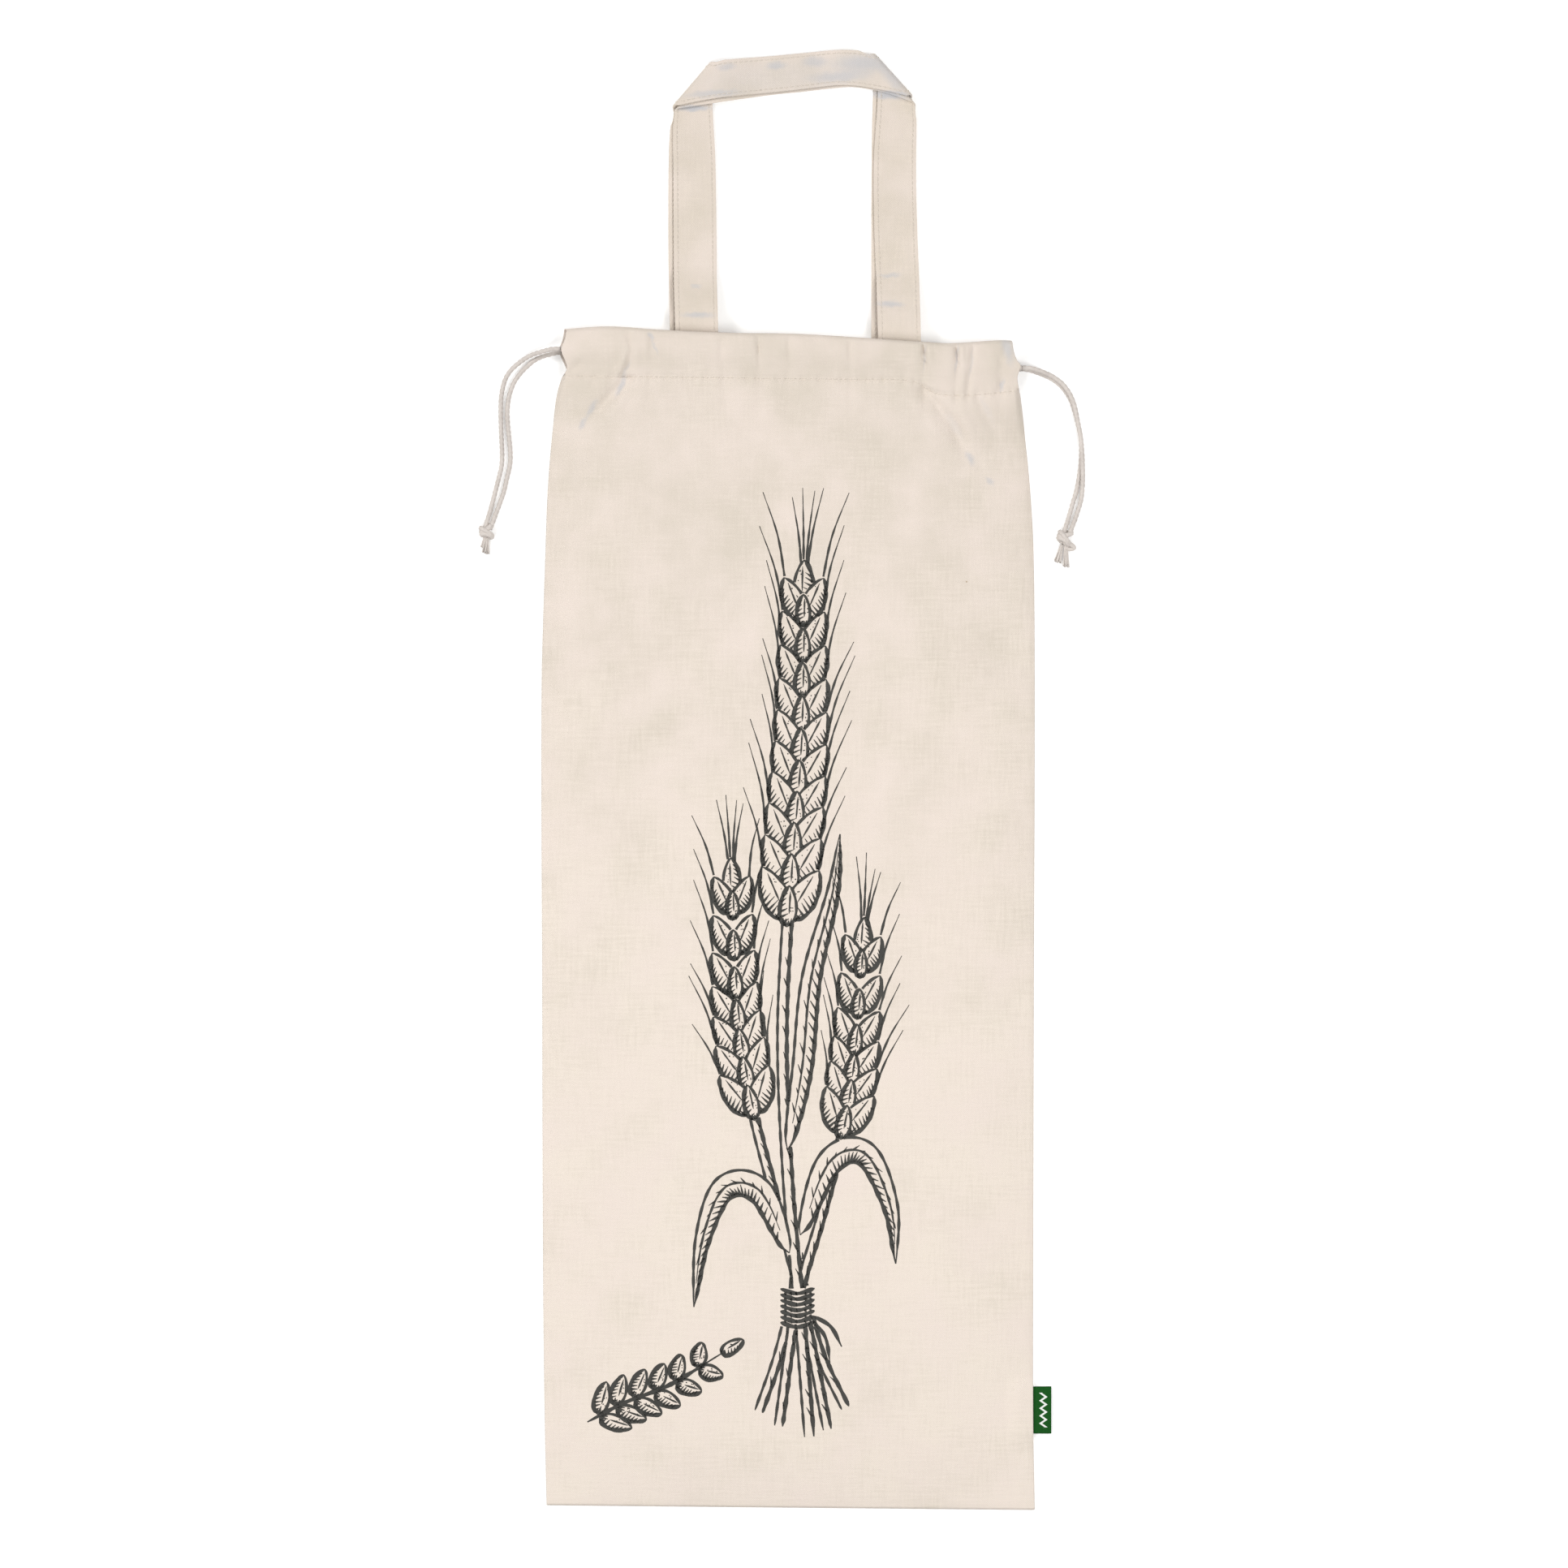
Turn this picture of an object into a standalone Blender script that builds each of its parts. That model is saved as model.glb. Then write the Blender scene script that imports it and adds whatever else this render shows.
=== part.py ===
"""Baguette bread bag in unbleached cotton, lying flat on its back.

A long narrow pouch of two sewn panels, each with a turned hem that makes a channel along
its mouth. Two drawcords run round both channels and leave one on each side, knotted. Two
strap handles are sewn inside the hems and lie folded over flat above the mouth.

Frame: the bag lies on z = 0, +Y runs from its bottom seam to its handles, +X to the right
seam. The origin is under the middle of the bag with its handles. Units are metres; the
tables below are in millimetres and are turned to metres as they are used.
"""

import math

import bmesh
import bpy
from mathutils import Vector

MM = 0.001

# Cloth, hem and seam
CLOTH = 1.0 * MM
SEAM_GAP = 0.3 * MM
CHANNEL = 3.8 * MM
HEM = CHANNEL + 2 * CLOTH
HEM_CLOSED = CLOTH + SEAM_GAP
HEM_INSET = 7.5 * MM
CHANNEL_TAPER = 0.38
MOUTH_SLACK = 4.9 * MM
BACK_RISE = 0.8 * MM

# Crown and puckers of the front panel
SLOPE_MIDDLE = 48 * MM
SLOPE_SIDE = 28 * MM
PUCKER_HEIGHT = 1.2 * MM
PUCKER_WIDTH = 3.4 * MM
PUCKER_FADE = 32 * MM

# Handles
STRAP = 1.2 * MM
STRAP_PITCH = STRAP + SEAM_GAP
FOLD_STEPS = 6

# Drawcords
CORD = 3.0 * MM
CORD_STEP = 7.5 * MM
HELD_STATIONS = 16
HELD_STRAIGHT = 112 * MM

# Side label
LABEL_SIZE = Vector((15.2, 26.0, 1.0)) * MM
LABEL_CENTRE = Vector((133.8, -349.6, 0.0)) * MM

# Sides of the bag, y from the bottom seam to the mouth: y, left edge, right edge
SIDES = (
    (-405.0, -138.6, 132.1),
    (-355.0, -139.7, 131.2),
    (-274.0, -140.6, 131.2),
    (-112.0, -141.1, 131.6),
    (50.0, -141.4, 132.1),
    (126.5, -139.3, 131.4),
    (162.5, -137.9, 129.4),
    (189.5, -135.7, 126.7),
    (212.0, -133.0, 124.0),
    (222.8, -130.0, 122.2),
    (227.0, -127.4, 123.4),
    (229.4, -127.2, 124.7),
    (232.5, -128.2, 123.0),
    (238.2, -130.3, 120.6),
    (244.0, -128.2, 119.6),
    (251.5, -127.0, 119.3),
)

# Top edge of the front panel: x, y
TOP_EDGE = (
    (-128.0, 249.6),
    (-104.0, 251.0),
    (-77.0, 249.3),
    (-37.0, 247.5),
    (0.0, 246.9),
    (42.0, 244.4),
    (71.0, 242.5),
    (85.0, 241.7),
    (112.0, 243.3),
    (120.0, 243.1),
)

# Stitch line that closes the channel: x, y
STITCH_LINE = (
    (-131.0, 223.7),
    (-40.0, 222.5),
    (30.0, 221.6),
    (64.0, 220.6),
    (78.0, 213.8),
    (96.0, 213.0),
    (123.0, 215.6),
)

BOTTOM_EDGE = ((-139.0, -402.4), (132.0, -405.0))

# Height of the crown over the seam, by the share of the way from stitch line to bottom
CROWN = (
    (0.0, 8.9),
    (0.16, 8.4),
    (0.55, 7.4),
    (0.86, 6.2),
    (0.94, 4.6),
    (0.98, 2.0),
    (1.0, 0.0),
)

# Gathers drawn up by the cords: x, share of the full pucker
GATHERS = (
    (-92.9, 1.0),
    (-80.8, 0.6),
    (-39.4, 0.7),
    (-20.5, 0.9),
    (-3.8, 0.5),
    (29.9, 0.6),
    (70.4, 1.0),
    (88.4, 0.8),
    (112.7, 0.7),
)

# Slanting creases below the hem: start x and y, end x and y, depth, half width
CREASES = (
    (-94.0, 226.0, -117.0, 194.0, 1.2, 5.0),
    (72.0, 214.0, 99.0, 176.0, 1.0, 6.0),
)

# Rows of the cloth, as shares of the body from stitch line to bottom, and of the hem's
# depth from stitch line to top fold
BODY_ROWS = (
    0.0, 0.011, 0.024, 0.042, 0.065, 0.1, 0.16, 0.26, 0.4, 0.55, 0.7, 0.82,
    0.883, 0.889, 0.933, 0.939, 0.97, 0.987, 1.0,
)
HEM_ROWS = (0.13, 0.27, 0.42, 0.58, 0.75)
BACK_BODY_ROWS = (0.0, 0.05, 0.2, 0.5, 0.8, 1.0)
BACK_HEM_ROWS = (0.2, 0.4, 0.6)

# Width of the straps in plan, narrower where they lie a little rolled: y, width
STRAP_WIDTHS = (
    (220.0, 23.6),
    (300.0, 23.8),
    (345.0, 23.4),
    (358.0, 22.8),
    (370.0, 22.0),
    (382.0, 20.4),
    (388.0, 20.6),
    (394.6, 19.6),
)

# Centre lines of the straps in plan: each leg from the end sewn in the hem to its fold, and
# the band between the folds, from left to right: x, y. The turned cloth slips along the
# fold by a few millimetres at each corner.
FOLD_ANGLES = {"left": math.radians(49.5), "right": math.radians(132.0)}
STRAP_STEP = 7 * MM
FOLD_SWING = 24 * MM
LEAST_SLANT = 0.65
FRONT_HANDLE = {
    "left": ((-55.3, 226.0), (-55.3, 249.8), (-56.0, 275.0), (-56.3, 300.0), (-56.5, 325.0),
             (-56.8, 345.0), (-57.2, 358.0), (-57.6, 370.0), (-57.6, 381.4)),
    "band": ((-47.6, 385.6), (-38.0, 387.1), (-29.0, 388.5), (-13.5, 390.5), (1.9, 391.9),
             (18.6, 393.6), (31.5, 394.2), (42.0, 392.5)),
    "right": ((57.0, 220.0), (57.0, 244.0), (56.2, 275.0), (55.2, 300.0), (54.6, 325.0),
              (54.6, 345.0), (55.2, 360.0), (55.7, 372.0), (55.7, 384.6)),
    "slip": {"left": 4.0 * MM, "right": 4.5 * MM},
    "leg_z": STRAP_PITCH + STRAP / 2,
    "band_z": 2 * STRAP_PITCH + STRAP / 2,
}
BACK_HANDLE = {
    "left": ((-58.4, 226.0), (-58.4, 249.8), (-59.1, 280.0), (-59.3, 310.0), (-59.3, 340.0),
             (-59.1, 355.0), (-58.6, 368.0), (-58.0, 382.3)),
    "band": ((-46.4, 388.0), (-36.0, 389.4), (-26.4, 390.4), (-11.0, 391.8), (4.5, 393.4),
             (18.6, 394.9), (28.0, 395.1), (37.9, 394.0)),
    "right": ((53.2, 220.0), (53.2, 244.0), (53.4, 276.0), (53.4, 300.0), (53.3, 345.0),
              (53.1, 370.0), (53.1, 388.3)),
    "slip": {"left": 5.0 * MM, "right": 3.5 * MM},
    "leg_z": STRAP / 2,
    "band_z": 3 * STRAP_PITCH + STRAP / 2,
}
BAND_SAG = 2 * STRAP_PITCH
SAG_FROM = (-45 * MM, 39 * MM)
SAG_LENGTH = 28 * MM
FRONT_DROP = (4 * MM, 42 * MM)
BACK_DROP = (3 * MM, 30 * MM)

# Lanes of the cords in the channels: distance below the top edge, more of it at the left
# and at the right end, and the x at which the cord turns down to the back channel
LANES = {"left": (8.0, 3.0, 0.0, 116.1), "right": (14.0, 1.6, 0.6, -122.9)}
LANE_ENDS = ((-95.0, 30.0), (95.0, 25.0))

# Free strands on the surface, from the channel's end to the knot: x, y, z
LEFT_UPPER = (
    (-130.6, 238.8, 9.0), (-136.0, 238.6, 8.2), (-141.7, 237.3, 6.2), (-146.3, 235.9, 4.3),
    (-150.7, 233.7, 2.6), (-155.1, 230.5, 1.8), (-158.8, 227.0, 1.55), (-161.4, 222.9, 1.55),
    (-163.0, 217.9, 1.55), (-163.9, 212.2, 1.55), (-164.2, 205.9, 1.55),
    (-164.1, 198.5, 1.55), (-163.8, 190.1, 1.55), (-163.4, 180.5, 1.55),
    (-163.8, 174.0, 1.55), (-165.2, 167.9, 1.55), (-166.8, 161.6, 1.55),
    (-168.4, 155.3, 1.55), (-170.1, 149.0, 2.0), (-171.4, 144.6, 2.7), (-172.1, 142.3, 3.0),
)
LEFT_LOWER = (
    (-130.6, 237.4, 2.9), (-136.0, 236.3, 2.3), (-141.1, 234.9, 1.7), (-145.5, 232.8, 1.55),
    (-149.2, 229.8, 1.55), (-152.3, 226.8, 1.55), (-155.1, 223.3, 1.55),
    (-157.3, 219.6, 1.55), (-158.9, 215.2, 1.55), (-160.0, 210.6, 1.55),
    (-160.6, 203.4, 1.55), (-160.1, 195.2, 1.55), (-159.6, 190.1, 1.55),
    (-158.8, 180.5, 1.55), (-159.2, 174.2, 1.55), (-160.8, 167.2, 1.55),
    (-162.4, 160.2, 1.55), (-164.6, 153.7, 1.55), (-166.5, 148.6, 2.0),
    (-168.0, 144.4, 2.7), (-168.8, 142.2, 3.0),
)
RIGHT_UPPER = (
    (124.9, 228.4, 9.0), (130.4, 228.0, 8.2), (134.8, 226.7, 7.0), (139.8, 224.8, 5.8),
    (143.7, 222.6, 5.1), (147.5, 219.5, 4.8), (150.7, 215.4, 4.7), (153.2, 210.3, 4.7),
    (154.8, 204.6, 4.7), (156.0, 198.3, 4.7), (157.2, 192.0, 4.7), (157.9, 186.9, 4.7),
    (158.4, 180.5, 4.6), (158.7, 172.8, 4.4), (158.8, 166.7, 3.8), (158.4, 159.3, 2.7),
    (157.5, 154.0, 1.9), (155.9, 148.7, 1.7), (154.5, 144.4, 2.2), (152.4, 139.0, 3.0),
)
RIGHT_LOWER = (
    (124.9, 228.0, 2.9), (130.0, 227.2, 2.2), (134.2, 225.8, 1.6), (139.2, 223.8, 1.55),
    (143.1, 221.6, 1.55), (146.8, 218.5, 1.55), (149.9, 214.7, 1.55), (152.5, 209.9, 1.55),
    (154.3, 204.4, 1.55), (155.9, 198.3, 1.55), (157.3, 192.0, 1.55), (157.9, 186.9, 1.55),
    (158.0, 180.5, 1.55), (157.4, 172.8, 1.55), (156.4, 166.0, 1.55), (155.0, 159.3, 1.55),
    (153.4, 154.0, 1.55), (151.9, 148.7, 1.7), (150.6, 144.4, 2.2), (148.9, 139.0, 3.0),
)

# Lobes of each knot: x, y, z, then half size along x, y and z
LEFT_KNOT = (
    (-171.9, 137.4, 3.4, 3.5, 4.1, 3.3),
    (-174.0, 138.2, 3.2, 2.4, 2.4, 2.5),
    (-169.4, 135.4, 3.2, 2.3, 2.2, 2.6),
    (-173.6, 134.9, 2.9, 2.0, 1.9, 2.3),
)
RIGHT_KNOT = (
    (148.4, 134.0, 3.4, 4.1, 3.9, 3.3),
    (151.3, 135.6, 3.3, 2.3, 2.3, 2.4),
    (149.2, 129.6, 3.0, 2.9, 2.9, 2.8),
    (152.2, 128.4, 2.6, 2.3, 1.9, 2.2),
)
# Frayed tails: start x and y, end x and y, start radius, end radius, height over the floor
LEFT_TAILS = ((-171.5, 135.0, -172.4, 125.1, 1.7, 2.9, 2.1),)
RIGHT_TAILS = (
    (147.2, 130.0, 144.7, 120.6, 1.4, 2.5, 1.9),
    (149.4, 129.0, 149.8, 118.1, 1.4, 2.1, 1.7),
)

COTTON = (0.80, 0.715, 0.615, 1.0)
CORD_COTTON = (0.76, 0.69, 0.63, 1.0)
LABEL_GREEN = (0.026, 0.145, 0.034, 1.0)


def eased(share):
    """Smooth step from 0 to 1."""
    share = min(max(share, 0.0), 1.0)
    return share * share * (3.0 - 2.0 * share)


def read(table, at, column=1):
    """Smooth curve through a table's rows, read at a value of its first column."""
    rows = table
    last = len(rows) - 1
    if at <= rows[0][0]:
        return rows[0][column]
    if at >= rows[last][0]:
        return rows[last][column]
    k = max(i for i in range(last) if rows[i][0] <= at)

    def slope(i):
        low, high = max(i - 1, 0), min(i + 1, last)
        return (rows[high][column] - rows[low][column]) / (rows[high][0] - rows[low][0])

    span = rows[k + 1][0] - rows[k][0]
    t = (at - rows[k][0]) / span
    rise = t * t * (3 - 2 * t)
    return (
        rows[k][column] * (1 - rise)
        + rows[k + 1][column] * rise
        + slope(k) * span * t * (1 - t) ** 2
        - slope(k + 1) * span * t * t * (1 - t)
    )


def top_y(x):
    return read(TOP_EDGE, x / MM) * MM


def stitch_y(x):
    return read(STITCH_LINE, x / MM) * MM


def bottom_y(x):
    return read(BOTTOM_EDGE, x / MM) * MM


def side_share(x, y):
    """Where x lies across the bag at y: -1 on the left edge, 1 on the right edge."""
    left = read(SIDES, y / MM, 1) * MM
    right = read(SIDES, y / MM, 2) * MM
    return 2 * (x - left) / (right - left) - 1


def mouth_gap(s):
    """Space between the two hems, widest in the middle of the mouth."""
    return SEAM_GAP + MOUTH_SLACK * (1 - min(abs(s), 1.0) ** 4)


def channel_opening(share):
    """Distance between a hem's two plies, mid to mid, from stitch line to top."""
    return HEM_CLOSED + (CHANNEL + CLOTH - HEM_CLOSED) * eased(share / CHANNEL_TAPER)


def pucker(x):
    """Height of the gathered cloth between the valleys that the cords draw in."""
    valley = max(
        deep * math.exp(-(((x / MM - at) * MM / PUCKER_WIDTH) ** 2)) for at, deep in GATHERS
    )
    return PUCKER_HEIGHT * (1 - valley)


def crease(x, y):
    """Depth of the slanting creases at a point."""
    depth = 0.0
    for x0, y0, x1, y1, deep, half in CREASES:
        start = Vector((x0, y0)) * MM
        line = Vector((x1, y1)) * MM - start
        offset = Vector((x, y)) - start
        share = offset.dot(line) / line.length_squared
        across = (offset - line * min(max(share, 0.0), 1.0)).length
        depth += deep * MM * math.exp(-((across / (half * MM)) ** 2)) * (1 - eased(share))
    return depth


def front_body_z(x, y, s, share):
    """Mid height of the front panel between its stitch line and its bottom seam."""
    seam_z = 1.5 * CLOTH + SEAM_GAP
    crown = read(CROWN, share) * MM * (1 - min(abs(s), 1.0) ** 4)
    z = seam_z + crown
    hem_z = HEM + mouth_gap(s) + CLOTH / 2 + HEM_CLOSED + PUCKER_HEIGHT / 2
    below = stitch_y(x) - y
    reach = SLOPE_SIDE + (SLOPE_MIDDLE - SLOPE_SIDE) * (1 - s * s)
    z += (hem_z - z) * (1 - eased(below / reach))
    z += (pucker(x) - PUCKER_HEIGHT / 2) * (1 - eased(below / PUCKER_FADE))
    z -= crease(x, y)
    label_near = 1 - eased((abs(y - LABEL_CENTRE.y) - LABEL_SIZE.y / 2 - 1 * MM) / (3 * MM))
    seam_near = eased((s - 0.88) / 0.07)
    z += (LABEL_SIZE.z + SEAM_GAP) * label_near * seam_near
    return max(z, seam_z)


def panel_columns():
    """Shares across the bag: close beside each gather, evenly between them."""
    left, right = SIDES[-3][1], SIDES[-3][2]
    beside = 1.15 * PUCKER_WIDTH / MM
    wanted = [left, left + 3.5, left + 10, right - 10, right - 3.5, right]
    for at, deep in GATHERS:
        wanted += [at - beside, at, at + beside]
    wanted.sort()
    kept = [wanted[0]]
    for x in wanted[1:]:
        spare = x - kept[-1]
        if spare < 2.2 and x != right:
            continue
        extra = int(spare // 13.0)
        kept += [kept[-1] + spare * (i + 1) / (extra + 1) for i in range(extra)]
        kept.append(x)
    return [(x - left) / (right - left) for x in kept]


def panel_point(u, row, is_front):
    """A point of the panel's mid surface. A row is its stretch and its place on it."""
    stretch, place = row
    inset = 0.0
    if stretch == "inner":
        inset = HEM_INSET
    elif stretch == "fold":
        inset = HEM_INSET * eased(2 * place - 1)
    x = (-130.0 + 252.0 * u) * MM
    for _ in range(3):
        rise = 0.0 if is_front else BACK_RISE
        top, stitch, bottom = top_y(x) + rise, stitch_y(x), bottom_y(x)
        fold_r = (CHANNEL + CLOTH) / 2
        fold_y = top - CLOTH / 2 - fold_r
        if stretch == "body":
            y = stitch + (bottom - stitch) * place
        elif stretch == "fold":
            y = fold_y + fold_r * math.sin(math.pi * place)
        else:
            y = stitch + (fold_y - stitch) * place
        left = read(SIDES, y / MM, 1) * MM + inset
        right = read(SIDES, y / MM, 2) * MM - inset
        x = left + (right - left) * u
    s = side_share(x, y)
    if not is_front:
        if stretch == "inner":
            z = CLOTH / 2 + channel_opening(place)
        elif stretch == "fold":
            z = CLOTH / 2 + fold_r * (1 - math.cos(math.pi * place))
        else:
            z = CLOTH / 2
        return Vector((x, y, z))
    inner_z = HEM + mouth_gap(s) + CLOTH / 2
    if stretch == "body":
        z = front_body_z(x, y, s, place)
    elif stretch == "outer":
        z = inner_z + channel_opening(place) + pucker(x)
    elif stretch == "fold":
        z = inner_z + fold_r * (1 + math.cos(math.pi * place)) + pucker(x) * (1 - place)
    else:
        z = inner_z
    return Vector((x, y, z))


def cotton(name, colour, roughness):
    material = bpy.data.materials.new(name)
    material.use_nodes = True
    shader = material.node_tree.nodes["Principled BSDF"]
    shader.inputs["Base Color"].default_value = colour
    shader.inputs["Roughness"].default_value = roughness
    shader.inputs["Metallic"].default_value = 0.0
    return material


def new_object(name, data, material, collection):
    found = bpy.data.objects.new(name, data)
    found.data.materials.append(material)
    collection.objects.link(found)
    return found


def cloth_sheet(name, rows, columns, place, thickness, material, collection):
    """A grid laid out by place(row, column) and given the cloth's thickness."""
    mesh = bpy.data.meshes.new(name)
    grid = bmesh.new()
    bmesh.ops.create_grid(grid, x_segments=columns - 1, y_segments=rows - 1, size=1.0)
    for vertex in grid.verts:
        column = round((vertex.co.x + 1) / 2 * (columns - 1))
        row = round((vertex.co.y + 1) / 2 * (rows - 1))
        vertex.co = place(row, column)
    grid.to_mesh(mesh)
    grid.free()
    sheet = new_object(name, mesh, material, collection)
    solid = sheet.modifiers.new("thickness", "SOLIDIFY")
    solid.thickness = thickness
    solid.offset = 0.0
    mesh.shade_smooth()
    mesh.set_sharp_from_angle(angle=math.radians(50))
    return sheet


def panel(name, is_front, material, collection):
    """One panel and its hem: a single cloth from the bottom seam to the hem's raw edge."""
    body, hem, fold_steps = BODY_ROWS, HEM_ROWS, FOLD_STEPS
    columns = panel_columns()
    if not is_front:
        body, hem = BACK_BODY_ROWS, BACK_HEM_ROWS
        columns = [0, 0.014, 0.04] + [0.1 * i for i in range(1, 10)] + [0.96, 0.986, 1]
    rows = [("body", share) for share in reversed(body)]
    rows += [("outer", share) for share in hem]
    rows += [("fold", step / fold_steps) for step in range(fold_steps + 1)]
    rows += [("inner", share) for share in reversed(hem)] + [("inner", 0.0)]

    def place(row, column):
        return panel_point(columns[column], rows[row], is_front)

    return cloth_sheet(name, len(rows), len(columns), place, CLOTH, material, collection)


def smooth_route(points, step):
    """Points about a step apart on a smooth curve through the given ones."""
    knots = [Vector(point) for point in points]
    ends = [2 * knots[0] - knots[1]] + knots + [2 * knots[-1] - knots[-2]]
    dense = []
    for k in range(1, len(ends) - 2):
        before, start, end, after = ends[k - 1 : k + 3]
        for i in range(12):
            t = i / 12
            dense.append(
                0.5
                * (
                    2 * start
                    + (end - before) * t
                    + (2 * before - 5 * start + 4 * end - after) * t**2
                    + (3 * start - before - 3 * end + after) * t**3
                )
            )
    dense.append(knots[-1])
    total = sum((b - a).length for a, b in zip(dense, dense[1:]))
    pieces = max(round(total / step), 2)
    route = [dense[0]]
    travelled, wanted = 0.0, total / pieces
    for a, b in zip(dense, dense[1:]):
        length = (b - a).length
        while travelled + length >= wanted and len(route) < pieces:
            route.append(a.lerp(b, (wanted - travelled) / length))
            wanted += total / pieces
        travelled += length
    route.append(dense[-1])
    return route


def in_metres(points):
    return [Vector(point) * MM for point in points]


def cord_tube(name, route, material, collection):
    curve = bpy.data.curves.new(name, "CURVE")
    curve.dimensions = "3D"
    curve.bevel_depth = CORD / 2
    curve.bevel_resolution = 2
    curve.use_fill_caps = True
    spline = curve.splines.new("POLY")
    spline.points.add(len(route) - 1)
    for point, place in zip(spline.points, route):
        point.co = (*place, 1.0)
    return new_object(name, curve, material, collection)


def lane_y(x, lane):
    """Where a cord lies in its channel, below the top edge."""
    below, more_left, more_right, turn_x = LANES[lane]
    (left_x, left_span), (right_x, right_span) = LANE_ENDS
    below += more_left * eased((left_x - x / MM) / left_span)
    below += more_right * eased((x / MM - right_x) / right_span)
    return top_y(x) - below * MM


def held_route(lane):
    """A drawcord from its exit through the front channel, round its far end and back."""
    side = 1 if lane == "right" else -1
    strands = (RIGHT_UPPER, RIGHT_LOWER) if lane == "right" else (LEFT_UPPER, LEFT_LOWER)
    turn_x = LANES[lane][3] * MM
    start_x = side * HELD_STRAIGHT
    xs = [start_x + (turn_x - start_x) * i / HELD_STATIONS for i in range(HELD_STATIONS + 1)]
    back_z = CLOTH + CHANNEL / 2

    def front_z(x, y):
        return HEM + mouth_gap(side_share(x, y)) + CLOTH + CHANNEL / 2

    exits = [Vector(strand[0]) * MM - Vector((side * SEAM_GAP, 0, 0)) for strand in strands]
    route = [exits[0]]
    route += [Vector((x, lane_y(x, lane), front_z(x, lane_y(x, lane)))) for x in xs]
    last = route[-1]
    radius = (last.z - back_z) / 2
    for step in range(1, 6):
        angle = math.pi * step / 6
        outward = -side * radius * math.sin(angle)
        route.append(Vector((turn_x + outward, last.y, last.z - radius * (1 - math.cos(angle)))))
    route += [Vector((x, lane_y(x, lane), back_z)) for x in reversed(xs)]
    route.append(exits[1])
    return route


def across(heading):
    return Vector((-heading.y, heading.x, 0))


def direction(path, k):
    low, high = max(k - 1, 0), min(k + 1, len(path) - 1)
    return (path[high] - path[low]).normalized()


def swung(heading, line, distance):
    """Across the strap, swung round to lie along the fold line where it is near."""
    square = across(heading)
    rise = line.dot(square)
    slant = line / math.copysign(max(abs(rise), LEAST_SLANT), rise)
    return square.lerp(slant, 1 - eased(distance / FOLD_SWING))


def strap_rows(handle, drop, inside_z):
    """Rows of a handle: its centre, the direction across it, and its height or a rule for it.

    Each leg lies under the band and turns over at a slanting fold.
    """
    lines = {
        corner: Vector((math.cos(angle), math.sin(angle), 0))
        for corner, angle in FOLD_ANGLES.items()
    }
    outward = {"left": across(lines["left"]), "right": -across(lines["right"])}
    legs = {
        corner: smooth_route(in_metres([(*p, 0) for p in handle[corner]]), STRAP_STEP)
        for corner in lines
    }
    ends = {c: legs[c][-1] + lines[c] * handle["slip"][c] for c in lines}
    middle = in_metres([(*p, 0) for p in handle["band"]])
    band = smooth_route([ends["left"]] + middle + [ends["right"]], STRAP_STEP)
    fold_r = (handle["band_z"] - handle["leg_z"]) / 2

    def leg_height(x, y):
        past = y - top_y(x)
        fall = eased((past - drop[0]) / (drop[1] - drop[0]))
        high = inside_z(x, y)
        return high + (handle["leg_z"] - high) * fall

    def band_height(x, y):
        """The band sinks to the surface between the legs."""
        inside = min(x - SAG_FROM[0], SAG_FROM[1] - x)
        return handle["band_z"] - BAND_SAG * eased(inside / SAG_LENGTH)

    def leg_rows(corner, sign):
        path = legs[corner]
        found = []
        for k, centre in enumerate(path):
            side = swung(direction(path, k), lines[corner], (path[-1] - centre).length)
            found.append((centre, side * sign, leg_height))
        return found

    def fold_rows(corner, leg_side, band_side):
        found = []
        for n in range(1, FOLD_STEPS):
            share = n / FOLD_STEPS
            turn = math.pi * share
            centre = legs[corner][-1].lerp(ends[corner], share)
            centre += outward[corner] * fold_r * math.sin(turn)
            z = handle["leg_z"] + fold_r * (1 - math.cos(turn))
            found.append((centre, leg_side.lerp(band_side, share), z))
        return found

    band_rows = []
    for k, centre in enumerate(band):
        from_left, from_right = (centre - band[0]).length, (band[-1] - centre).length
        near = "left" if from_left < from_right else "right"
        side = swung(direction(band, k), lines[near], min(from_left, from_right))
        band_rows.append((centre, -side, band_height))
    left, right = leg_rows("left", 1), leg_rows("right", -1)
    rows = left + fold_rows("left", left[-1][1], band_rows[0][1]) + band_rows
    rows += fold_rows("right", right[-1][1], band_rows[-1][1])[::-1]
    return rows + right[::-1]


def handle(name, shape, drop, inside_z, material, collection):
    rows = strap_rows(shape, drop, inside_z)
    columns = 5

    def place(row, column):
        centre, side, height = rows[row]
        width = read(STRAP_WIDTHS, centre.y / MM) * MM
        point = centre + side * width * (0.5 - column / (columns - 1))
        point.z = height(point.x, point.y) if callable(height) else height
        return point

    return cloth_sheet(name, len(rows), columns, place, STRAP, material, collection)


def under_front_hem(x, y):
    s = side_share(x, min(y, top_y(x)))
    return HEM + mouth_gap(s) - SEAM_GAP - STRAP / 2


def over_back_hem(x, y):
    return HEM + SEAM_GAP + STRAP / 2


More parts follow.
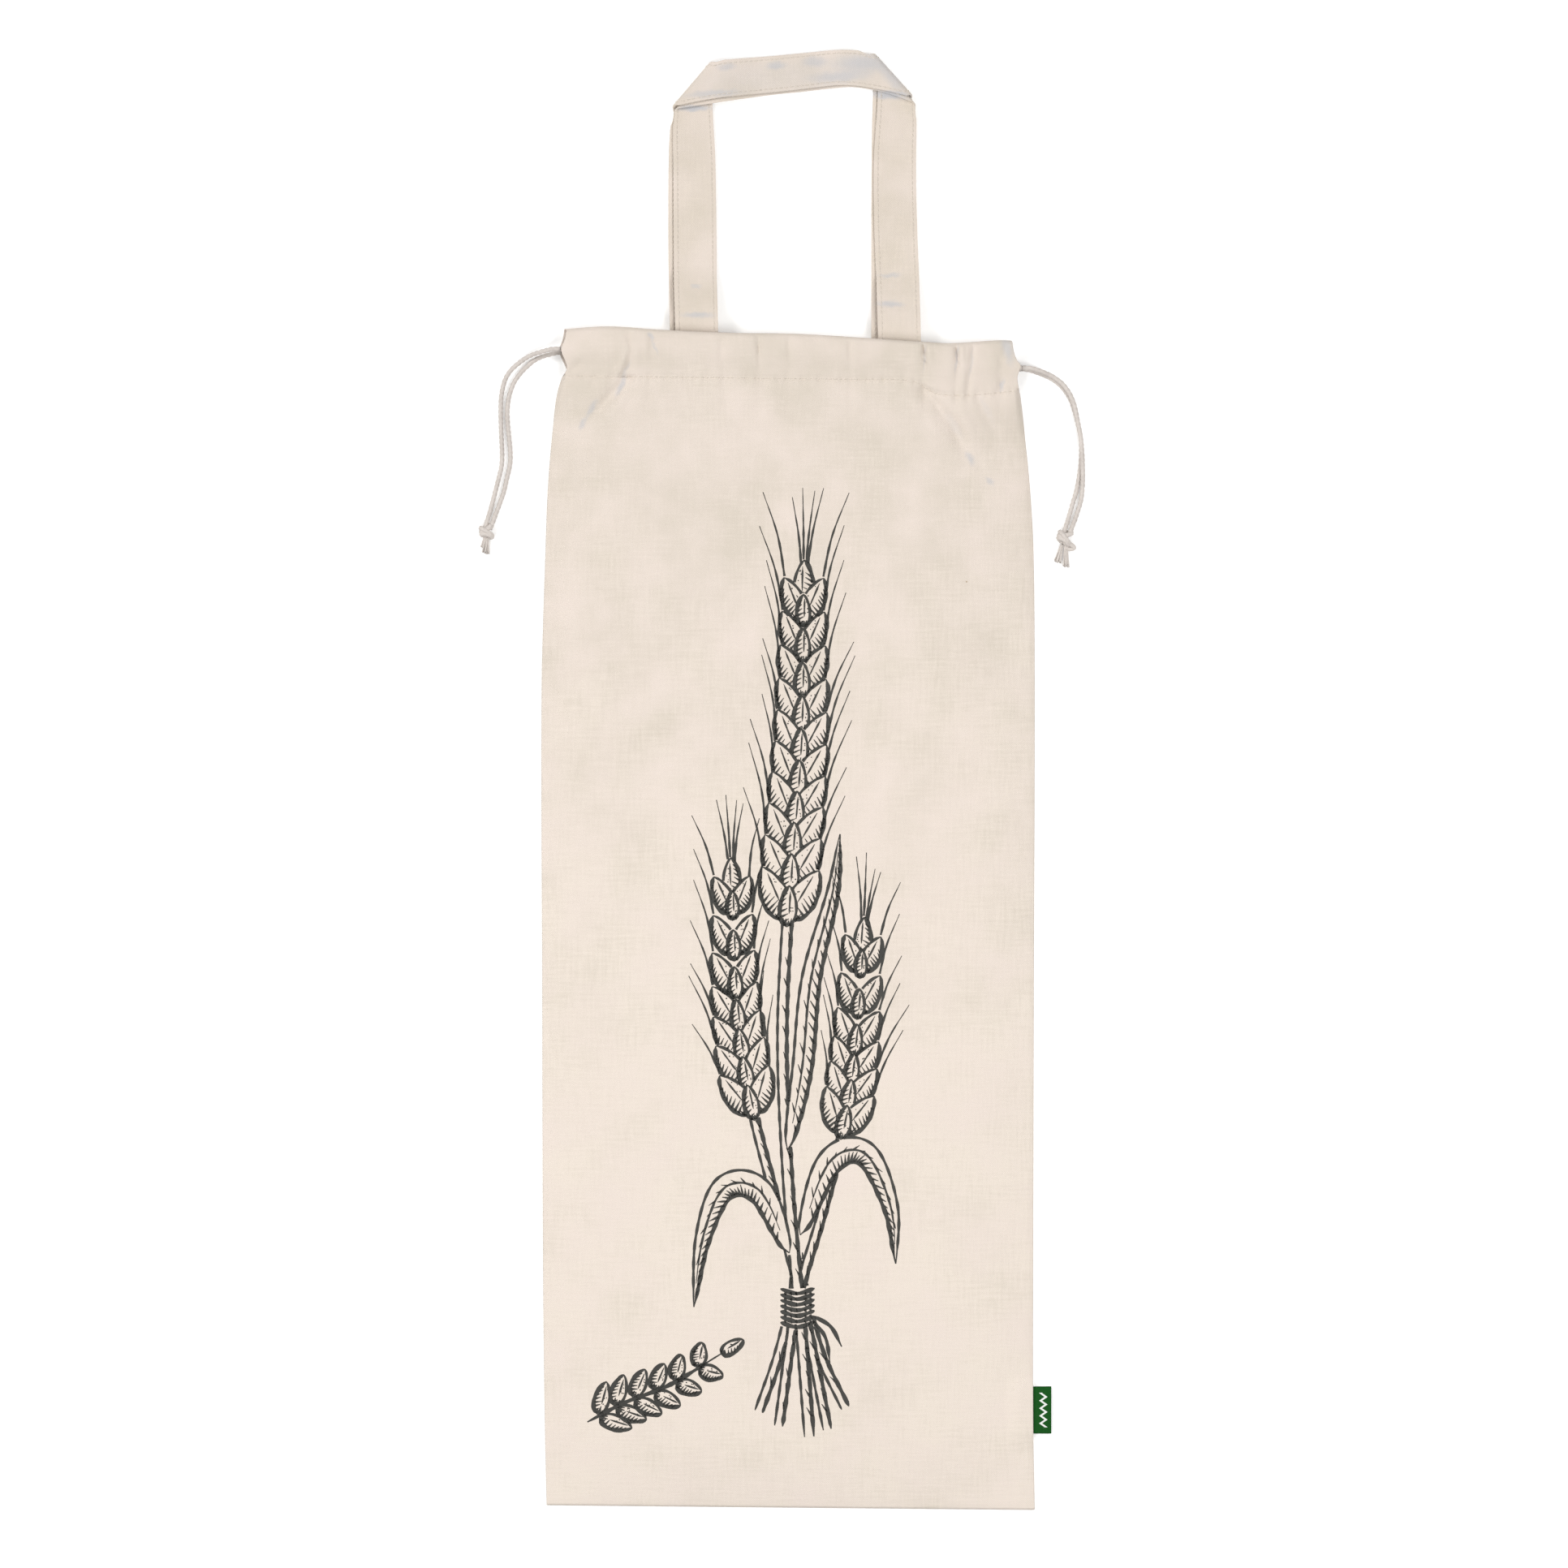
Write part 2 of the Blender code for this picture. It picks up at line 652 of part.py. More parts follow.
def knot(name, lobes, tails, material, collection, helpers):
    """A knot's lobes and frayed tails, joined into one solid."""
    made = []
    for x, y, z, half_x, half_y, half_z in lobes:
        mesh = bpy.data.meshes.new(name)
        ball = bmesh.new()
        bmesh.ops.create_uvsphere(ball, u_segments=12, v_segments=8, radius=1.0)
        bmesh.ops.scale(ball, vec=Vector((half_x, half_y, half_z)) * MM, verts=ball.verts)
        ball.to_mesh(mesh)
        ball.free()
        made.append((mesh, Vector((x, y, z)) * MM, 0.0))
    for x0, y0, x1, y1, r0, r1, high in tails:
        start, end = Vector((x0, y0, high)) * MM, Vector((x1, y1, high)) * MM
        mesh = bpy.data.meshes.new(name)
        cone = bmesh.new()
        bmesh.ops.create_cone(
            cone, cap_ends=True, segments=10, radius1=r0 * MM, radius2=r1 * MM,
            depth=(end - start).length,
        )
        flat = high / r1 * 0.94
        for vertex in cone.verts:
            x, y, z = vertex.co
            vertex.co = (z, y, x * flat)
        bmesh.ops.recalc_face_normals(cone, faces=cone.faces)
        cone.to_mesh(mesh)
        cone.free()
        made.append((mesh, (start + end) / 2, math.atan2(y1 - y0, x1 - x0)))
    whole = new_object(name, made[0][0], material, collection)
    whole.location = made[0][1]
    for n, (mesh, place, turn) in enumerate(made[1:]):
        helper = new_object(f"{name}_lobe_{n + 1}", mesh, material, helpers)
        helper.location = place
        helper.rotation_euler.z = turn
        helper.hide_render = True
        helper.display_type = "WIRE"
        joined = whole.modifiers.new(f"lobe_{n + 1}", "BOOLEAN")
        joined.operation = "UNION"
        joined.object = helper
    whole.data.shade_smooth()
    return whole


def label(name, material, collection):
    """A folded woven label, caught in the right side seam."""
    mesh = bpy.data.meshes.new(name)
    box = bmesh.new()
    bmesh.ops.create_cube(box, size=1.0)
    bmesh.ops.scale(box, vec=LABEL_SIZE, verts=box.verts)
    box.to_mesh(mesh)
    box.free()
    tag = new_object(name, mesh, material, collection)
    tag.location = LABEL_CENTRE + Vector((0, 0, CLOTH + SEAM_GAP + LABEL_SIZE.z / 2))
    rounded = tag.modifiers.new("rounded", "BEVEL")
    rounded.width = 0.3 * MM
    rounded.segments = 2
    return tag


for leftover in list(bpy.data.objects):
    bpy.data.objects.remove(leftover, do_unlink=True)

bag = bpy.data.collections.new("baguette_bread_bag")
bpy.context.scene.collection.children.link(bag)
joiners = bpy.data.collections.new("knot_joiners")
bpy.context.scene.collection.children.link(joiners)

cloth_finish = cotton("unbleached_cotton", COTTON, 0.9)
strap_finish = cotton("strap_cotton", COTTON, 0.9)
cord_finish = cotton("cord_cotton", CORD_COTTON, 0.85)
label_finish = cotton("label_green", LABEL_GREEN, 0.7)

panel("back_panel", False, cloth_finish, bag)
panel("front_panel", True, cloth_finish, bag)
handle("handle_back", BACK_HANDLE, BACK_DROP, over_back_hem, strap_finish, bag)
handle("handle_front", FRONT_HANDLE, FRONT_DROP, under_front_hem, strap_finish, bag)
for lane in ("left", "right"):
    held = smooth_route(held_route(lane), CORD_STEP)
    cord_tube(f"drawcord_{lane}", held, cord_finish, bag)
for strand_name, strand in (
    ("cord_left_upper", LEFT_UPPER),
    ("cord_left_lower", LEFT_LOWER),
    ("cord_right_upper", RIGHT_UPPER),
    ("cord_right_lower", RIGHT_LOWER),
):
    cord_tube(strand_name, smooth_route(in_metres(strand), CORD_STEP), cord_finish, bag)
knot("knot_left", LEFT_KNOT, LEFT_TAILS, cord_finish, bag, joiners)
knot("knot_right", RIGHT_KNOT, RIGHT_TAILS, cord_finish, bag, joiners)
label("side_label", label_finish, bag)
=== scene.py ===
"""Looks of a baguette bread bag in unbleached cotton, lying flat on its back, seen from above."""

import math
import random

import bmesh
import bpy
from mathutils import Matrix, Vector
from mathutils.bvhtree import BVHTree


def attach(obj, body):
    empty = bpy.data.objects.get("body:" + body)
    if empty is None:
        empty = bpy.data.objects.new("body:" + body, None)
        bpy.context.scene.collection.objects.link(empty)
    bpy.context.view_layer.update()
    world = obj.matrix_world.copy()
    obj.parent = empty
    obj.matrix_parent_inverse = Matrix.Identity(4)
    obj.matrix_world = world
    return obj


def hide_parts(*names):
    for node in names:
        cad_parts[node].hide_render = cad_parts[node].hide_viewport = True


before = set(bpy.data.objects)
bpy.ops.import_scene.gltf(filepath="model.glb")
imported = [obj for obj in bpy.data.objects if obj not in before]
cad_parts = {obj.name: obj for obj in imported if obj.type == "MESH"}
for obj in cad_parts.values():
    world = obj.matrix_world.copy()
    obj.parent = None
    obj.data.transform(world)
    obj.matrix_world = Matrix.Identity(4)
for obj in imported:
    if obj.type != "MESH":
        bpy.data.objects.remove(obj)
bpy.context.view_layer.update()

# Picture setting: a matt white table top that glows a little, so that its shadows stay faint,
# a camera straight above the bag and soft light from boxes above it, one of them low at the
# upper left so that folds show.

MM = 0.001
SIGHT_WIDTH = 869.4 * MM
SIGHT_CENTRE = Vector((-6.975, -2.25, 5)) * MM
CAMERA_HEIGHT = 4.0
SENSOR = 36.0
TABLE_HALF = 4.0
TABLE_DROP = 0.05 * MM
TABLE_WHITE = (0.93, 0.93, 0.925, 1)
TABLE_GLOW = 0.2
STUDIO_STRENGTH = 0.33
# Boxes of light: name, place, size, power
SOFT_BOXES = (
    ("soft_box_left", (-2, 1.2, 1.7), 0.8, 35),
    ("soft_box_right", (0.75, -0.15, 1.4), 0.6, 13),
    ("soft_box_near_left", (-0.75, -0.75, 1.4), 0.6, 9),
    ("soft_box_top", (0.4, 1.7, 1.9), 1.0, 9),
)


def in_scene(name, data):
    """A new object of the scene that shows a mesh, a camera or a light."""
    made = bpy.data.objects.new(name, data)
    bpy.context.scene.collection.objects.link(made)
    return made


def new_material(name, **values):
    """A material and its shader, with values for the shader's own sockets."""
    material = bpy.data.materials.new(name)
    material.use_nodes = True
    shader = material.node_tree.nodes["Principled BSDF"]
    for socket, value in values.items():
        shader.inputs[socket.replace("_", " ")].default_value = value
    return material, shader


bpy.context.scene.view_settings.view_transform = "Standard"

camera = in_scene("camera", bpy.data.cameras.new("camera"))
camera.location = SIGHT_CENTRE + Vector((0, 0, CAMERA_HEIGHT))
camera.data.sensor_width = SENSOR
camera.data.lens = SENSOR * CAMERA_HEIGHT / SIGHT_WIDTH
camera.data.clip_end = 5 * CAMERA_HEIGHT
bpy.context.scene.camera = camera

table_top = in_scene("table_top", bpy.data.meshes.new("table_top"))
table_work = bmesh.new()
bmesh.ops.create_grid(table_work, x_segments=2, y_segments=2, size=TABLE_HALF)
table_work.to_mesh(table_top.data)
table_work.free()
table_top.location.z = -TABLE_DROP
table_paint = new_material(
    "table_white", Base_Color=TABLE_WHITE, Roughness=0.9, Specular_IOR_Level=0.1,
    Emission_Color=TABLE_WHITE, Emission_Strength=TABLE_GLOW
)[0]
table_top.data.materials.append(table_paint)

studio = bpy.data.worlds.new("studio")
studio.use_nodes = True
studio_light = studio.node_tree.nodes["Background"]
studio_light.inputs["Color"].default_value = (1, 1, 1, 1)
studio_light.inputs["Strength"].default_value = STUDIO_STRENGTH
bpy.context.scene.world = studio
for box_name, place, size, power in SOFT_BOXES:
    hung = in_scene(box_name, bpy.data.lights.new(box_name, "AREA"))
    hung.data.size = size
    hung.data.energy = power
    hung.location = place
    hung.rotation_mode = "QUATERNION"
    hung.rotation_quaternion = (-Vector(place)).to_track_quat("-Z", "Y")

# Front and back panel: two cuts of plain-woven unbleached cotton, sewn together inside out
# along the sides and the bottom. Each is turned over at the mouth and stitched down, which
# makes the channel for its cord, and the cords draw the front hem into small gathers.

COTTON_COLOUR = (0.69, 0.614, 0.536, 1)
COTTON_SHADE = (0.594, 0.529, 0.454, 1)
COTTON_PINK = (0.688, 0.602, 0.54, 1)
# Painted cool shade: a grey-blue tone mixed in where shade falls, in creases, dips and under the
# band
COOL_SHADE = (0.44, 0.45, 0.48, 1)
SEED_FLECK = (0.36, 0.27, 0.18, 1)
CLOTH = 0.7 * MM
CAD_CLOTH = 1.0 * MM
SEAM_GAP = 0.3 * MM
CHANNEL = 3.8 * MM
HEM = CHANNEL + 2 * CAD_CLOTH
HEM_CLOSED = CAD_CLOTH + SEAM_GAP
HEM_INSET = 7.5 * MM
CHANNEL_TAPER = 0.75
MOUTH_SLACK = 4.9 * MM
BACK_RISE = 0.8 * MM
SLOPE_MIDDLE = 48 * MM
SLOPE_SIDE = 28 * MM
PUCKER_HEIGHT = 1.2 * MM
PUCKER_WIDTH = 2.6 * MM
PUCKER_SHARE = 0.62
PUCKER_FADE = 32 * MM
ROW_RIPPLE = 0.28
ROW_REACH = 3.2
ROW_DIP = 0.65
BACK_PEEP = 1.7 * MM
BACK_PEEP_FROM = 227
# Place of the label on the side seam, in millimetres, and the swell of the cloth over it
LABEL_MIDDLE = -349.6
LABEL_REACH = 14.0
LABEL_SWELL = 1.3 * MM
# Cloth of a panel under its hem, and its zones of closer rows, in millimetres
BODY_LENGTH = 627.0
BODY_WIDTH = 272.0
HEM_LEFT, HEM_WIDTH = -130.0, 252.0
UNDER_HEM = 80
ABOVE_FOOT = 14
UNDER_ROW = 5
ROW_STEP = 0.8
EDGE_COLUMNS = [0.0, 0.6, 1.4, 2.6]
INNER_SHARES = (0.8, 0.6, 0.42, 0.28, 0.14, 0.0)
# Seams: where they begin as a share of the way to the edge, and how close the cloths come
BACK_LIFT = 0.1 * MM
BACK_SEAM_LIFT = 0.22 * MM
SIDE_SEAM = 0.985
BOTTOM_SEAM = 0.996
TOUCHING = 1.5 * CLOTH + 0.42 * MM
RELIEF = 0.3 * MM

# Sides of the bag: y, left edge, right edge
SIDES = (
    (-405, -138.6, 132.1), (-355, -139.7, 131.2), (-274, -140.6, 131.2), (-112, -141.1, 131.6),
    (50, -141.4, 132.1), (126.5, -139.3, 131.4), (162.5, -137.9, 129.4), (189.5, -135.7, 126.7),
    (212, -133, 124), (222.8, -130, 122.2), (227, -127.4, 123.4), (229.4, -127.2, 124.2),
    (232.5, -128.2, 121.8), (238.2, -130.3, 119.9), (244, -128.2, 119.4), (251.5, -127, 119.3),
)
TOP_EDGE = (
    (-128, 249.6), (-104, 251), (-77, 249.3), (-37, 247.5), (0, 246.9), (42, 244.4), (71, 242.5),
    (85, 241.7), (112, 243.3), (120, 243.1),
)
STITCH_LINE = (
    (-131, 223.7), (-40, 222.5), (30, 221.6), (64, 220.6), (78, 213.8), (96, 213), (123, 215.6),
)
BOTTOM_EDGE = ((-139, -402.4), (132, -405))
CROWN = (
    (0, 8.9), (0.16, 8.4), (0.55, 7.4), (0.86, 6.2), (0.94, 4.6), (0.98, 2), (1, 0),
)
GATHERS = (
    (-92.9, 1), (-80.8, 0.6), (-39.4, 0.7), (-20.5, 0.9), (-3.8, 0.5), (29.9, 0.6), (70.4, 1),
    (88.4, 0.8), (112.7, 0.7),
)
# Broad slanting creases: start x and y, end x and y, rise, half width
CREASES = (
    (-94, 226, -117, 194, -1.6, 5), (72, 214, 99, 176, -2.2, 5.5),
)
# Fine folds pressed into the cloth: start x and y, end x and y, rise, half width
FINE_FOLDS = (
    (-93, 247, -91, 236, -0.9, 1.1), (-94.6, 244, -92.4, 234, 0.8, 1),
    (-92.6, 241, -103, 214, 0.8, 1.2), (-90.6, 236.5, -97, 221.5, -0.8, 1.4),
    (-96.4, 221, -103.4, 205, -0.9, 1.7), (-94.4, 233, -103, 219, 0.8, 1.7),
    (-99.6, 217, -118, 195, -1.28, 2.4), (-96, 212, -112, 193, 0.48, 3.2),
    (-81, 247, -78.4, 236, -1.28, 1), (-83.4, 243, -82, 230, 0.56, 1.2),
    (-85.5, 238, -85, 227, -0.56, 1.1), (-110, 226, -116, 213, -0.56, 1.8),
    (-119, 231, -128, 224.5, -0.8, 1.3), (-117, 236, -127, 232, 0.48, 1.6),
    (-66, 228, -61, 221, -0.64, 1.1), (-60.5, 225, -56, 219, 0.48, 1.2),
    (-42.2, 246, -41.6, 224, -0.64, 1), (-38.5, 244, -38.8, 226, 0.4, 1.2),
    (-21.4, 246, -20, 224, -1.04, 1), (-19, 223, -15.5, 212, -0.72, 1.5),
    (-16, 226, -12.5, 218, 0.48, 1.1), (-4.6, 244, -3.8, 227, -0.64, 1),
    (29.4, 243, 29.9, 225, -0.72, 1), (33, 240, 33.2, 226, 0.32, 1.2),
    (70, 245, 71.2, 219, -1.9, 0.95), (73.2, 241, 74, 222, 1, 1.4),
    (66, 221, 75.5, 211, 0.72, 1.2), (68.5, 217.5, 77, 209.5, -0.8, 1.2),
    (75.2, 211, 87, 195.5, -1.2, 2), (84.8, 203, 96, 174, -1.4, 3.2), (89, 206, 104, 180, 1, 3.2),
    (99, 178, 107, 166, -0.48, 2.8), (88, 245, 89.6, 217, -2, 0.95),
    (91.2, 243, 92, 221, 1.1, 1.2), (98, 245, 95.4, 217, -1.7, 1),
    (95.2, 226, 95, 204, -1.2, 1.5), (91.2, 222, 90.8, 205, 0.7, 1.4),
    (98.6, 214, 114, 184, -1.1, 3), (115.5, 242, 115, 231, -0.96, 1.5),
    (113.2, 222, 113, 212, -1.04, 1.3), (110, 233, 111, 224, 0.4, 1.4),
    (112, 231, 121, 228, -0.64, 1.2), (-118, 150, -126, 128, -0.2, 5),
    (94, 120, 104, 96, -0.15, 6),
)


def eased(share):
    share = min(max(share, 0.0), 1.0)
    return share * share * (3.0 - 2.0 * share)


def bell(off):
    """1 in the middle, falling softly to 0 on both sides."""
    return math.exp(-(off**2))


def read(table, at, column=1):
    """Smooth curve through a table's rows, read at a value of its first column."""
    last = len(table) - 1
    if at <= table[0][0]:
        return table[0][column]
    if at >= table[last][0]:
        return table[last][column]
    k = 0
    while table[k + 1][0] <= at:
        k += 1

    def slope(i):
        low, high = max(i - 1, 0), min(i + 1, last)
        return (table[high][column] - table[low][column]) / (table[high][0] - table[low][0])

    span = table[k + 1][0] - table[k][0]
    t = (at - table[k][0]) / span
    rise = t * t * (3 - 2 * t)
    return (
        table[k][column] * (1 - rise)
        + table[k + 1][column] * rise
        + slope(k) * span * t * (1 - t) ** 2
        - slope(k + 1) * span * t * t * (1 - t)
    )


def top_y(x):
    return read(TOP_EDGE, x / MM) * MM


def stitch_y(x):
    return read(STITCH_LINE, x / MM) * MM


def sides_at(y):
    return read(SIDES, y / MM, 1) * MM, read(SIDES, y / MM, 2) * MM


def side_share(x, y):
    left, right = sides_at(y)
    return 2 * (x - left) / (right - left) - 1


def at_seam(share, seam):
    """How far a share from 0 to 1 is into the last stretch, which the seam takes up."""
    return eased((share - seam) / (1 - seam))


def mouth_gap(s):
    return SEAM_GAP + MOUTH_SLACK * (1 - min(abs(s), 1.0) ** 4)


def channel_opening(share):
    return HEM_CLOSED + (CHANNEL + CAD_CLOTH - HEM_CLOSED) * eased(share / CHANNEL_TAPER)


def pucker(x):
    wide = PUCKER_WIDTH / MM
    valley = max(deep * bell((x / MM - at) / wide) for at, deep in GATHERS)
    return PUCKER_HEIGHT * (1 - PUCKER_SHARE * valley)


def fold_rise(x, y, folds, fades_at_start):
    """Height that a list of folds adds at a point, in metres."""
    rise = 0.0
    x, y = x / MM, y / MM
    for x0, y0, x1, y1, high, half in folds:
        reach = 3 * half
        if x < min(x0, x1) - reach or x > max(x0, x1) + reach:
            continue
        if y < min(y0, y1) - reach or y > max(y0, y1) + reach:
            continue
        along_x, along_y = x1 - x0, y1 - y0
        length = math.hypot(along_x, along_y)
        share = ((x - x0) * along_x + (y - y0) * along_y) / length**2
        near = min(max(share, 0.0), 1.0)
        aside = math.hypot(x - x0 - along_x * near, y - y0 - along_y * near)
        fade = 1 - eased((share - 0.35) / 0.65)
        if fades_at_start:
            fade *= eased((share + 0.15) / 0.35)
        rise += high * bell(aside / half) * fade
    return rise * MM


def ripple(x, y):
    """Small unevenness of washed cotton, and puckers along the stitched row."""
    x, y = x / MM, y / MM
    soft = 0.16 * math.sin(x / 31 + 1.7 * math.sin(y / 57)) * math.sin(y / 43 + 0.8)
    soft += 0.10 * math.sin(x / 13.7 + y / 21) * math.sin(y / 17.3 - x / 29)
    from_row = y - read(STITCH_LINE, x)
    wave = math.sin(x / 0.8 + 1.5 * math.sin(x / 6.1)) + 0.6 * math.sin(x / 1.7 + 2.0)
    sewn = ROW_RIPPLE * bell(from_row / ROW_REACH) * wave - ROW_DIP * bell(from_row)
    return (soft + sewn) * MM


def front_body_z(x, y, s, share):
    """Height of the front cloth: its low swell over the hollow, and its slope up to the hem."""
    seam_z = 1.5 * CAD_CLOTH + SEAM_GAP
    crown = read(CROWN, share) * MM * (1 - min(abs(s), 1.0) ** 4)
    z = seam_z + crown
    hem_z = HEM + mouth_gap(s) + CAD_CLOTH / 2 + HEM_CLOSED + PUCKER_HEIGHT / 2
    below = stitch_y(x) - y
    reach = SLOPE_SIDE + (SLOPE_MIDDLE - SLOPE_SIDE) * (1 - s * s)
    z += (hem_z - z) * (1 - eased(below / reach))
    z += (pucker(x) - PUCKER_HEIGHT / 2) * (1 - eased(below / PUCKER_FADE))
    z += fold_rise(x, y, CREASES, False)
    near_label = 1 - eased((abs(y / MM - LABEL_MIDDLE) - LABEL_REACH) / 3)
    z += LABEL_SWELL * near_label * eased((s - 0.88) / 0.07)
    return max(z, seam_z)


def panel_point(u, row, is_front):
    """A point of a panel's mid surface. A row is its stretch and its place on it."""
    stretch, place = row
    inset = 0.0
    if stretch == "inner":
        inset = HEM_INSET
    elif stretch == "fold":
        inset = HEM_INSET * eased(2 * place - 1)
    # Where the sides are depends on y and the hem's height on x, so both are found in turns
    x = (HEM_LEFT + HEM_WIDTH * u) * MM
    for _ in range(3):
        rise = 0.0 if is_front else BACK_RISE
        top, stitch, bottom = top_y(x) + rise, stitch_y(x), read(BOTTOM_EDGE, x / MM) * MM
        fold_r = (CHANNEL + CAD_CLOTH) / 2
        fold_y = top - CAD_CLOTH / 2 - fold_r
        if stretch == "body":
            y = stitch + (bottom - stitch) * place
        elif stretch == "fold":
            y = fold_y + fold_r * math.sin(math.pi * place)
        else:
            y = stitch + (fold_y - stitch) * place
        left, right = sides_at(y)
        if not is_front:
            left -= BACK_PEEP * eased((y / MM - BACK_PEEP_FROM) / 5)
        x = left + inset + (right - left - 2 * inset) * u
    s = side_share(x, y)
    if not is_front:
        if stretch == "inner":
            z = CAD_CLOTH / 2 + channel_opening(place)
        elif stretch == "fold":
            z = CAD_CLOTH / 2 + fold_r * (1 - math.cos(math.pi * place))
        else:
            z = CLOTH / 2 + BACK_LIFT + BACK_SEAM_LIFT * at_seam(abs(s), SIDE_SEAM)
        return Vector((x, y, z))
    inner_z = HEM + mouth_gap(s) + CAD_CLOTH / 2
    if stretch == "body":
        z = front_body_z(x, y, s, place)
    elif stretch == "outer":
        z = inner_z + channel_opening(place) + pucker(x)
    elif stretch == "fold":
        z = inner_z + fold_r * (1 + math.cos(math.pi * place)) + pucker(x) * (1 - place)
    else:
        return Vector((x, y, inner_z))
    calm = 1.0
    if stretch == "fold":
        calm = 1 - eased(place / 0.5)
    if stretch == "body":
        calm *= eased((1 - abs(s)) / 0.05) * eased((1 - place) / 0.02)
    else:
        calm *= eased((1 - abs(s)) / 0.02)
    z += calm * (fold_rise(x, y, FINE_FOLDS, True) + ripple(x, y))
    if stretch == "body":
        if s < 0 or abs(y / MM - LABEL_MIDDLE) > LABEL_REACH + 1:
            z -= (z - TOUCHING) * max(at_seam(abs(s), SIDE_SEAM), at_seam(place, BOTTOM_SEAM))
    return Vector((x, y, z))


def cloth_grid(name, rows, columns, place, thickness):
    """A sheet laid out by place(row, column), given its thickness, as a new object."""
    mesh = bpy.data.meshes.new(name)
    grid = bmesh.new()
    bmesh.ops.create_grid(grid, x_segments=columns - 1, y_segments=rows - 1, size=1.0)
    for vertex in grid.verts:
        column = round((vertex.co.x + 1) / 2 * (columns - 1))
        row = round((vertex.co.y + 1) / 2 * (rows - 1))
        vertex.co = place(row, column)
    grid.to_mesh(mesh)
    grid.free()
    sheet = in_scene(name, mesh)
    solid = sheet.modifiers.new("thickness", "SOLIDIFY")
    solid.thickness = thickness
    solid.offset = 0.0
    mesh.shade_smooth()
    mesh.set_sharp_from_angle(angle=math.radians(60))
    return sheet


def body_shares(close, far):
    """Rows of the body, close together under the hem and at the bottom."""
    stops = [0.0]
    while stops[-1] < BODY_LENGTH - 0.5:
        at = stops[-1]
        step = close if at < UNDER_HEM or at > BODY_LENGTH - ABOVE_FOOT else far
        if at < UNDER_ROW:
            step = ROW_STEP
        stops.append(min(at + step, BODY_LENGTH))
    return [stop / BODY_LENGTH for stop in stops]


def side_shares(step):
    """Columns of a panel, closer together at its two edges."""
    edge = EDGE_COLUMNS[-1]
    between = BODY_WIDTH - 2 * edge
    inner = round(between / step)
    middle = [edge + between * i / inner for i in range(1, inner)]
    stops = EDGE_COLUMNS + middle + [BODY_WIDTH - at for at in reversed(EDGE_COLUMNS)]
    return [stop / BODY_WIDTH for stop in stops]


def sewn_panel(name, is_front, close, far, hem_rows, step):
    """A panel from its bottom seam up to the hem, over the fold and down inside the channel."""
    columns = side_shares(step)
    rows = [("body", share) for share in reversed(body_shares(close, far))]
    rows += [("outer", (k + 1) / (hem_rows + 1)) for k in range(hem_rows)]
    rows += [("fold", k / 10) for k in range(11)]
    rows += [("inner", share) for share in INNER_SHARES]

    def place(row, column):
        return panel_point(columns[column], rows[row], is_front)

    return cloth_grid(name, len(rows), len(columns), place, CLOTH)


def add_node(kind, inputs, tree=None, **settings):
    """A node's outputs. Each input, by name or number, gets a value or a socket to link.

    The node joins the tree that is given, or else that of the sockets linked to it.
    """
    if tree is None:
        tree = next(v.id_data for v in inputs.values() if isinstance(v, bpy.types.NodeSocket))
    node = tree.nodes.new("ShaderNode" + kind)
    for name, value in settings.items():
        setattr(node, name, value)
    for name, value in inputs.items():
        if isinstance(value, bpy.types.NodeSocket):
            tree.links.new(value, node.inputs[name])
        else:
            node.inputs[name].default_value = value
    return node.outputs


def maths(operation, *values):
    return add_node("Math", dict(enumerate(values)), operation=operation)[0]


def waves(along, pitch):
    return maths("SINE", maths("MULTIPLY", along, 2 * math.pi / pitch))


def noise(place, scale, detail, roughness=0.5):
    inputs = {"Vector": place, "Scale": scale, "Detail": detail, "Roughness": roughness}
    return add_node("TexNoise", inputs)


def mixed(share, a, b):
    """Two colours, mixed by the share of the second."""
    return add_node("Mix", {"Factor": share, "A": a, "B": b}, data_type="RGBA")["Result"]


def own_place(tree):
    """Where a point lies in the piece's own frame."""
    return add_node("TexCoord", {}, tree)["Object"]


def dress(shader, colour, height, strength, depth, rough=None):
    """Gives a shader its woven colour, relief and roughness."""
    relief = add_node("Bump", {"Height": height, "Strength": strength, "Distance": depth})
    for socket, value in (("Base Color", colour), ("Normal", relief[0]), ("Roughness", rough)):
        if value:
            shader.id_data.links.new(value, shader.inputs[socket])


# Plain weave of spun cotton: crossing threads, thick and thin places along them, and
# soft clouds of tone.
THREAD_WANDER = (0.0011, 0.0011, 0)
SLUB_STRETCHES = ((60, 620, 1), (620, 60, 1))
plain_weave = bpy.data.node_groups.new("plain_weave", "ShaderNodeTree")
for way, socket_names in (
    ("INPUT", ("Thread", "Slub")),
    ("OUTPUT", ("Height", "Tone", "Clouds", "Blush", "Flecks")),
):
    for socket_name in socket_names:
        plain_weave.interface.new_socket(socket_name, in_out=way, socket_type="NodeSocketFloat")
weave_in = plain_weave.nodes.new("NodeGroupInput").outputs
weave_place = own_place(plain_weave)
warp = noise(weave_place, 90, 2)["Color"]
bend = {0: warp, 1: THREAD_WANDER, 2: weave_place}
bent = add_node("VectorMath", bend, operation="MULTIPLY_ADD")["Vector"]
bent = add_node("SeparateXYZ", {"Vector": bent})
per_thread = maths("DIVIDE", math.pi / MM, weave_in["Thread"])
crossing = [maths("SINE", maths("MULTIPLY", bent[axis], per_thread)) for axis in "XY"]
streaks = []
for stretch in SLUB_STRETCHES:
    drawn = add_node("VectorMath", {0: weave_place, 1: stretch}, operation="MULTIPLY")
    streaks.append(noise(drawn["Vector"], 1, 2, 0.55)["Fac"])
slubs = maths("SUBTRACT", maths("ADD", *streaks), 1)
slubs = maths("MULTIPLY", slubs, weave_in["Slub"])
checker = maths("MULTIPLY", *crossing)
